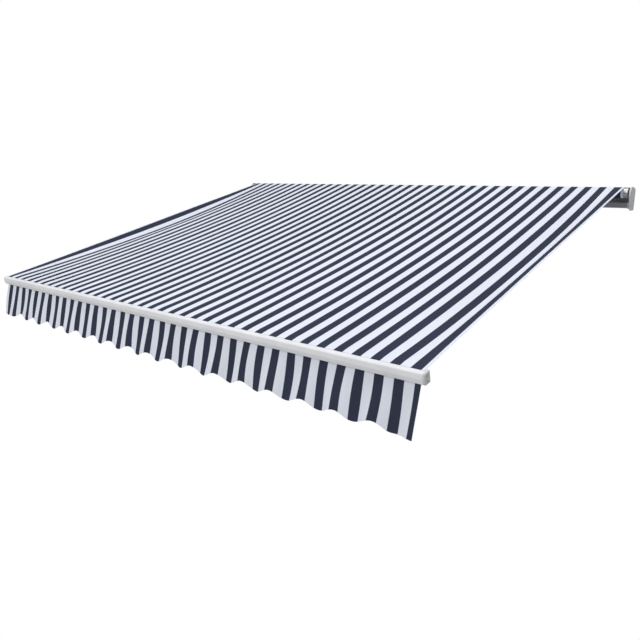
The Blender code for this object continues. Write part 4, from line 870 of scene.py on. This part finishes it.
@dataclass
class Valance:
    """The waved strip of cloth below the front bar.

    Args:
        awning: The awning's shared sizes.
        material: The cloth.
        width: The strip's width.
        drop: How far its long lobes hang.
        wave: How much shorter it is between two lobes.
        shift: How far its stripes are moved to the right, in stripe pitches.
        lean: How far the hem swings forward.
        groove: How far behind the middle of the bar the groove is.
        tuck: The length in the groove.
        ripple: How far the ripples swing at the hem.
        ripples: The ripples, which grow towards the hem.
        flutter: A finer ripple, only near the hem.
        sway: How the stripes bend sideways between the bar and the hem.
    """

    awning: Awning
    material: bpy.types.Material
    width: float = 3.866
    drop: float = 0.240
    wave: float = 0.034
    shift: float = 0.25
    lean: float = 0.055
    groove: float = -0.008
    tuck: float = 0.003
    ripple: float = 0.0075
    ripples: tuple[Wave, ...] = (Wave(1.0, 0.96 * math.pi, 2.0, 0.6), Wave(0.6, 0.43 * math.pi, -1.4, 1.9))
    flutter: Wave = Wave(0.3, 1.9 * math.pi, start=0.4)
    sway: Wave = Wave(0.0045, 0.37 * math.pi, start=0.8)

    def hang(self, x: float) -> float:
        """How far the strip hangs, longest under every second dark stripe.

        Args:
            x: The place across the awning.

        Returns:
            The distance from the bar to the hem.
        """
        turn = self.awning.turns(x) - self.shift
        lobes = math.floor((self.awning.turns(self.width / 2.0) - 1.0) / 2.0)
        if abs(turn) > 2 * lobes + 1:
            return self.drop
        return self.drop - self.wave * (0.5 + 0.5 * math.cos(math.pi * turn))

    def point(self, x: float, share: float) -> Vector:
        """The strip's surface.

        Args:
            x: The place across the awning.
            share: 0 at the bar and 1 at the hem, or below 0 for a length in the groove.

        Returns:
            The point in the row frame.
        """
        below = -self.awning.bar_height / 2.0
        if share < 0.0:
            return self.awning.on_bar(x, self.groove, below - share)
        turn = self.awning.turns(x)
        swing = sum(wave.at(turn, share) for wave in self.ripples) + self.flutter.at(turn, share) * share
        forward = self.lean * share + self.ripple * share ** 0.8 * swing
        sideways = self.sway.at(turn, share) * math.sin(math.pi * share)
        return self.awning.on_bar(x, self.groove, below) + Vector((sideways, -forward, -self.hang(x) * share))

    def flat(self, x: float, share: float) -> tuple[float, float]:
        """The place on the flat cloth, across in stripe pitches and along in metres."""
        return self.awning.turns(x) - self.shift, share * self.hang(x) if share > 0.0 else share

    def build(self) -> None:
        """Make the strip."""
        steps = 22
        rows = [-self.tuck] + [index / steps for index in range(steps + 1)]
        columns = self.awning.stations(self.width, per_pitch=14)
        grid = Grid(
            "valance_cloth", columns, rows, self.point, self.awning.cloth_thickness, self.flat, self.material
        )
        piece = grid.build()
        show(piece)
        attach(piece, Body.BAR.value)
        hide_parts("valance")
        flat = (self.width, self.drop + self.tuck)
        area = min(grid.area(), 0.999 * flat[0] * flat[1])
        LOG.info("made %s", piece.name)


@dataclass
class GapShadeStrip:
    """The dark strip in the gap between the torsion bar and the roller, open at the brackets. It is painted
    shade: it stands in for the shade in that gap.

    Args:
        material: The strip's material.
        spans: The first and last x of each length.
        back: The y of the strip's middle.
        low: The z of its lower edge.
        height: Its height.
        thickness: Its thickness.
        rounding: The rounding of its edges.
    """

    material: bpy.types.Material
    spans: tuple[tuple[float, float], ...] = ((-1.985, -1.785), (-1.53, -0.06), (0.06, 1.53), (1.785, 1.985))
    back: float = -0.050
    low: float = 0.0205
    height: float = 0.057
    thickness: float = 0.004
    rounding: float = 0.0008

    def build(self) -> None:
        """Make each length."""
        for index, (start, end) in enumerate(self.spans):
            shape = bmesh.new()
            bmesh.ops.create_cube(shape, size=1.0)
            size = (end - start, self.thickness, self.height)
            middle = Vector(((start + end) / 2.0, self.back, self.low + self.height / 2.0))
            bmesh.ops.scale(shape, vec=size, verts=shape.verts)
            bmesh.ops.translate(shape, vec=middle, verts=shape.verts)
            bmesh.ops.bevel(shape, geom=shape.edges, offset=self.rounding, segments=2, affect="EDGES")
            # painted shade: each length stands in for the shade in the gap behind the roller
            mesh = bpy.data.meshes.new(f"roller_seal_{index}")
            shape.to_mesh(mesh)
            shape.free()
            mesh.materials.append(self.material)
            strip = bpy.data.objects.new(mesh.name, mesh)
            show(strip)
            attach(strip, Body.WALL.value)
            LOG.info("made %s", strip.name)


@dataclass
class Screws:
    """Pan heads with a hexagon socket, repeated over their seats by Geometry Nodes.

    Args:
        awning: The awning's shared sizes.
        material: The screws' material.
        profile: The radius and height of each ring of the head, from its seat up.
        socket_radius: The socket's radius at its corners.
        socket_floor: The height of the socket's floor.
        sides: How many sides a ring has.
        plate_seats: The y and z of each screw in a side plate.
        cap_seats: The height of each screw in an end cap.
    """

    awning: Awning
    material: bpy.types.Material
    profile: tuple[tuple[float, float], ...] = (
        (0.0050, 0.0), (0.0050, 0.0014), (0.0044, 0.0024), (0.0034, 0.0029), (0.0022, 0.0030),
    )
    socket_radius: float = 0.0017
    socket_floor: float = 0.0012
    sides: int = 24
    plate_seats: tuple[tuple[float, float], ...] = ((-0.055, 0.040), (-0.098, 0.0), (-0.030, -0.026))
    cap_seats: tuple[float, ...] = (-0.014, 0.014)

    def build(self) -> None:
        """Put screws on the side plates and on the bar's end caps."""
        awning = self.awning
        head = self._head()
        cap_face = awning.bar_length / 2.0 + awning.bar_cap
        plates = []
        caps = []
        for side in (-1.0, 1.0):
            facing = (side, 0.0, 0.0)
            plates += [((side * awning.plate_outer, y, z), facing) for y, z in self.plate_seats]
            for height in self.cap_seats:
                caps.append((tuple(awning.on_bar(side * cap_face, 0.0, height)), facing))
        self._repeat("side_plate_screws", Body.WALL, head, plates)
        self._repeat("bar_cap_screws", Body.BAR, head, caps)

    def _head(self) -> bpy.types.Object:
        """Make the head that is repeated.

        Returns:
            The head on the origin, facing +Z.
        """
        shape = bmesh.new()
        steps = [math.tau * step / self.sides for step in range(self.sides)]
        rings = []
        for radius, height in self.profile:
            round_it = [(radius * math.cos(angle), radius * math.sin(angle), height) for angle in steps]
            rings.append([shape.verts.new(place) for place in round_it])
        flat_radius = self.socket_radius * math.cos(math.pi / 6.0)
        for height in (self.profile[-1][1], self.socket_floor):
            ring = []
            for angle in steps:
                from_flat = (angle + math.pi / 6.0) % (math.pi / 3.0) - math.pi / 6.0
                radius = flat_radius / math.cos(from_flat)
                ring.append(shape.verts.new((radius * math.cos(angle), radius * math.sin(angle), height)))
            rings.append(ring)
        for near, far in zip(rings, rings[1:]):
            for step in range(self.sides):
                following = (step + 1) % self.sides
                shape.faces.new((near[step], near[following], far[following], far[step]))
        shape.faces.new(rings[-1])
        shape.faces.new(rings[0][::-1])
        return finished("screw_head", shape, None, sharp_degrees=35.0)

    def _repeat(
        self, name: str, body: Body, head: bpy.types.Object, seats: Sequence[tuple[Point, Point]]
    ) -> None:
        """Put a head on each seat.

        Args:
            name: The name of the finished piece.
            body: The body that the screws ride on.
            head: The head.
            seats: The place of each head and the direction it faces.
        """
        cloud = bpy.data.meshes.new(name + "_points")
        cloud.from_pydata([place for place, _ in seats], [], [])
        facing = cloud.attributes.new("facing", "FLOAT_VECTOR", "POINT")
        for item, (_, way) in zip(facing.data, seats):
            item.vector = way
        holder = bpy.data.objects.new(name + "_holder", cloud)
        show(holder)
        show(head)
        modifier = holder.modifiers.new("repeat", "NODES")
        modifier.node_group = self._group()
        inputs = {item.name: item.identifier for item in modifier.node_group.interface.items_tree}
        modifier[inputs["Head"]] = head
        modifier[inputs["Finish"]] = self.material
        graph = bpy.context.evaluated_depsgraph_get()
        mesh = bpy.data.meshes.new_from_object(holder.evaluated_get(graph))
        holder.modifiers.remove(modifier)
        bpy.data.objects.remove(holder)
        bpy.context.scene.collection.objects.unlink(head)
        made = bpy.data.objects.new(name, mesh)
        show(made)
        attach(made, body.value)
        LOG.info("made %s", name)

    @staticmethod
    def _group() -> bpy.types.NodeTree:
        """Make the nodes that put a head on every point, turned to the point's direction.

        Returns:
            The node group, with the head and its material as inputs.
        """
        tree = bpy.data.node_groups.new("repeat_heads", "GeometryNodeTree")
        tree.interface.new_socket("Geometry", in_out="INPUT", socket_type="NodeSocketGeometry")
        tree.interface.new_socket("Head", in_out="INPUT", socket_type="NodeSocketObject")
        tree.interface.new_socket("Finish", in_out="INPUT", socket_type="NodeSocketMaterial")
        tree.interface.new_socket("Geometry", in_out="OUTPUT", socket_type="NodeSocketGeometry")
        graph = Graph(tree)
        start = graph.node("NodeGroupInput")
        points = graph.node("GeometryNodeMeshToPoints", inputs={"Mesh": graph.wire(start, "Geometry")})
        head = graph.node("GeometryNodeObjectInfo", inputs={"Object": graph.wire(start, "Head")})
        way = graph.node("GeometryNodeInputNamedAttribute", {"data_type": "FLOAT_VECTOR"}, {"Name": "facing"})
        turned = graph.node(
            "FunctionNodeAlignRotationToVector", {"axis": "Z"}, {"Vector": graph.wire(way, "Attribute")}
        )
        sockets = {
            "Points": graph.wire(points, "Points"),
            "Instance": graph.wire(head, "Geometry"),
            "Rotation": graph.wire(turned, "Rotation"),
        }
        placed = graph.node("GeometryNodeInstanceOnPoints", inputs=sockets)
        sockets = {"Geometry": graph.wire(placed, "Instances")}
        solid = graph.node("GeometryNodeRealizeInstances", inputs=sockets)
        sockets = {"Geometry": graph.wire(solid, "Geometry"), "Material": graph.wire(start, "Finish")}
        painted = graph.node("GeometryNodeSetMaterial", inputs=sockets)
        graph.node("NodeGroupOutput", inputs={"Geometry": graph.wire(painted, "Geometry")})
        return tree


@dataclass(frozen=True)
class Lamp:
    """A soft square lamp.

    Args:
        name: The lamp's name.
        place: Where it hangs.
        target: What it faces.
        power: Its power in watts.
        tint: Its colour.
        size: Its side in metres.
    """

    name: str
    place: Point
    target: Point
    power: float
    tint: Colour
    size: float = 6.0

    def build(self) -> None:
        """Hang the lamp."""
        data = bpy.data.lights.new(self.name, "AREA")
        data.size = self.size
        data.energy = self.power
        data.color = self.tint
        lamp = bpy.data.objects.new(self.name, data)
        show(lamp)
        lamp.location = self.place
        lamp.rotation_mode = "QUATERNION"
        lamp.rotation_quaternion = (Vector(self.target) - Vector(self.place)).to_track_quat("-Z", "Y")


@dataclass
class Studio:
    """Camera, lamps, floor and the world.

    Args:
        place: The camera's point in the row frame.
        yaw: How far the camera is turned to the left from +Y, in degrees.
        down: How far it looks down, in degrees.
        roll: How far it is rolled, in degrees.
        lens: The focal length in millimetres.
        sensor: The sensor's width in millimetres.
        sky: The colour of the even light from everywhere.
        sky_strength: The strength of that light.
        floor_tone: The floor's colour.
        floor_height: The floor's z, far below the awning.
        floor_size: The floor's side.
        lamps: The lamps.
    """

    place: Point = (3.170, -5.1463, 0.2013)
    yaw: float = 39.666
    down: float = 13.152
    roll: float = 0.127
    lens: float = 34.306
    sensor: float = 36.0
    sky: Colour = (0.96, 0.97, 1.0)
    sky_strength: float = 0.46
    floor_tone: float = 0.60
    floor_height: float = -2.8
    floor_size: float = 120.0
    lamps: tuple[Lamp, ...] = (
        Lamp("key", (2.0, -2.5, 8.5), (0.0, -1.4, 0.0), power=412.0, tint=(0.96, 0.98, 1.0)),
        Lamp("fill", (-1.0, -9.0, 4.0), (0.0, -1.5, -0.3), power=235.0, tint=(1.0, 0.99, 0.97)),
    )

    def build(self) -> None:
        """Make everything round the awning."""
        self._camera()
        self._world()
        self._floor()
        for lamp in self.lamps:
            lamp.build()
        LOG.info("made the studio")

    def _camera(self) -> None:
        """Put the camera where the photo was taken from."""
        data = bpy.data.cameras.new("camera")
        data.lens = self.lens
        data.sensor_width = self.sensor
        data.clip_end = 200.0
        camera = bpy.data.objects.new("camera", data)
        show(camera)
        yaw = math.radians(self.yaw)
        down = math.radians(self.down)
        look = Vector((-math.sin(yaw) * math.cos(down), math.cos(yaw) * math.cos(down), -math.sin(down)))
        camera.location = self.place
        camera.rotation_mode = "QUATERNION"
        level = look.to_track_quat("-Z", "Y")
        camera.rotation_quaternion = Quaternion(-look, math.radians(self.roll)) @ level
        bpy.context.scene.camera = camera
        bpy.context.scene.view_settings.view_transform = "Standard"

    def _world(self) -> None:
        """Even light from everywhere, and white for the camera."""
        world = bpy.data.worlds.new("studio")
        world.use_nodes = True
        world.node_tree.nodes.clear()
        graph = Graph(world.node_tree)
        camera_ray = graph.wire(graph.node("ShaderNodeLightPath"), "Is Camera Ray")
        sockets = {"Color": (*self.sky, 1.0), "Strength": self.sky_strength}
        light = graph.node("ShaderNodeBackground", inputs=sockets)
        white = graph.node("ShaderNodeBackground", inputs={"Color": WHITE, "Strength": 1.0})
        sockets = {0: camera_ray, 1: graph.wire(light), 2: graph.wire(white)}
        both = graph.node("ShaderNodeMixShader", inputs=sockets)
        graph.node("ShaderNodeOutputWorld", inputs={"Surface": graph.wire(both)})
        bpy.context.scene.world = world

    def _floor(self) -> None:
        """A pale ground far below the awning, plain white to the camera."""
        bpy.ops.mesh.primitive_plane_add(size=self.floor_size, location=(0.0, 0.0, self.floor_height))
        floor = bpy.context.object
        floor.name = "floor"
        shader = Shader("floor")
        tone = self.floor_tone
        shader.feed(shader.surface, {"Base Color": (tone, tone, tone, 1.0), "Roughness": 0.9})
        camera_ray = shader.wire(shader.node("ShaderNodeLightPath"), "Is Camera Ray")
        glow = shader.node("ShaderNodeEmission", inputs={"Color": WHITE})
        sockets = {0: camera_ray, 1: shader.wire(shader.surface), 2: shader.wire(glow)}
        both = shader.node("ShaderNodeMixShader", inputs=sockets)
        shader.feed(shader.tree.nodes["Material Output"], {"Surface": shader.wire(both)})
        floor.data.materials.append(shader.material)


def paint(frame: dict, finishes: dict[str, bpy.types.Material]) -> None:
    """Give every CAD piece the finish of its slot.

    Args:
        finishes: The material of each slot.
    """
    slots = {item["node"]: item["material_slot"] for item in frame["record"]["subparts"]}
    for name, node in frame["nodes"].items():
        node.data.materials.clear()
        node.data.materials.append(finishes[slots[name]])
        LOG.info("painted %s", name)


def main() -> None:
    """Build the scene."""
    logging.basicConfig(level=logging.INFO)
    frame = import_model()
    awning = Awning()
    finishes = {coating.slot.value: coating.material() for coating in COATINGS}
    cloth = WEAVE.material(awning.stripe_pitch)
    finishes[Finish.CLOTH.value] = cloth
    paint(frame, finishes)
    # painted shade: grey strips stand in for the shade between the torsion bar and the roller
    GapShadeStrip(finishes[Finish.DARK_PLASTIC.value]).build()
    Screws(awning, finishes[Finish.STEEL.value]).build()
    Canopy(awning, cloth).build()
    RollerCloth(awning, cloth).build()
    Valance(awning, cloth).build()
    Studio().build()


if __name__ == "__main__":
    main()
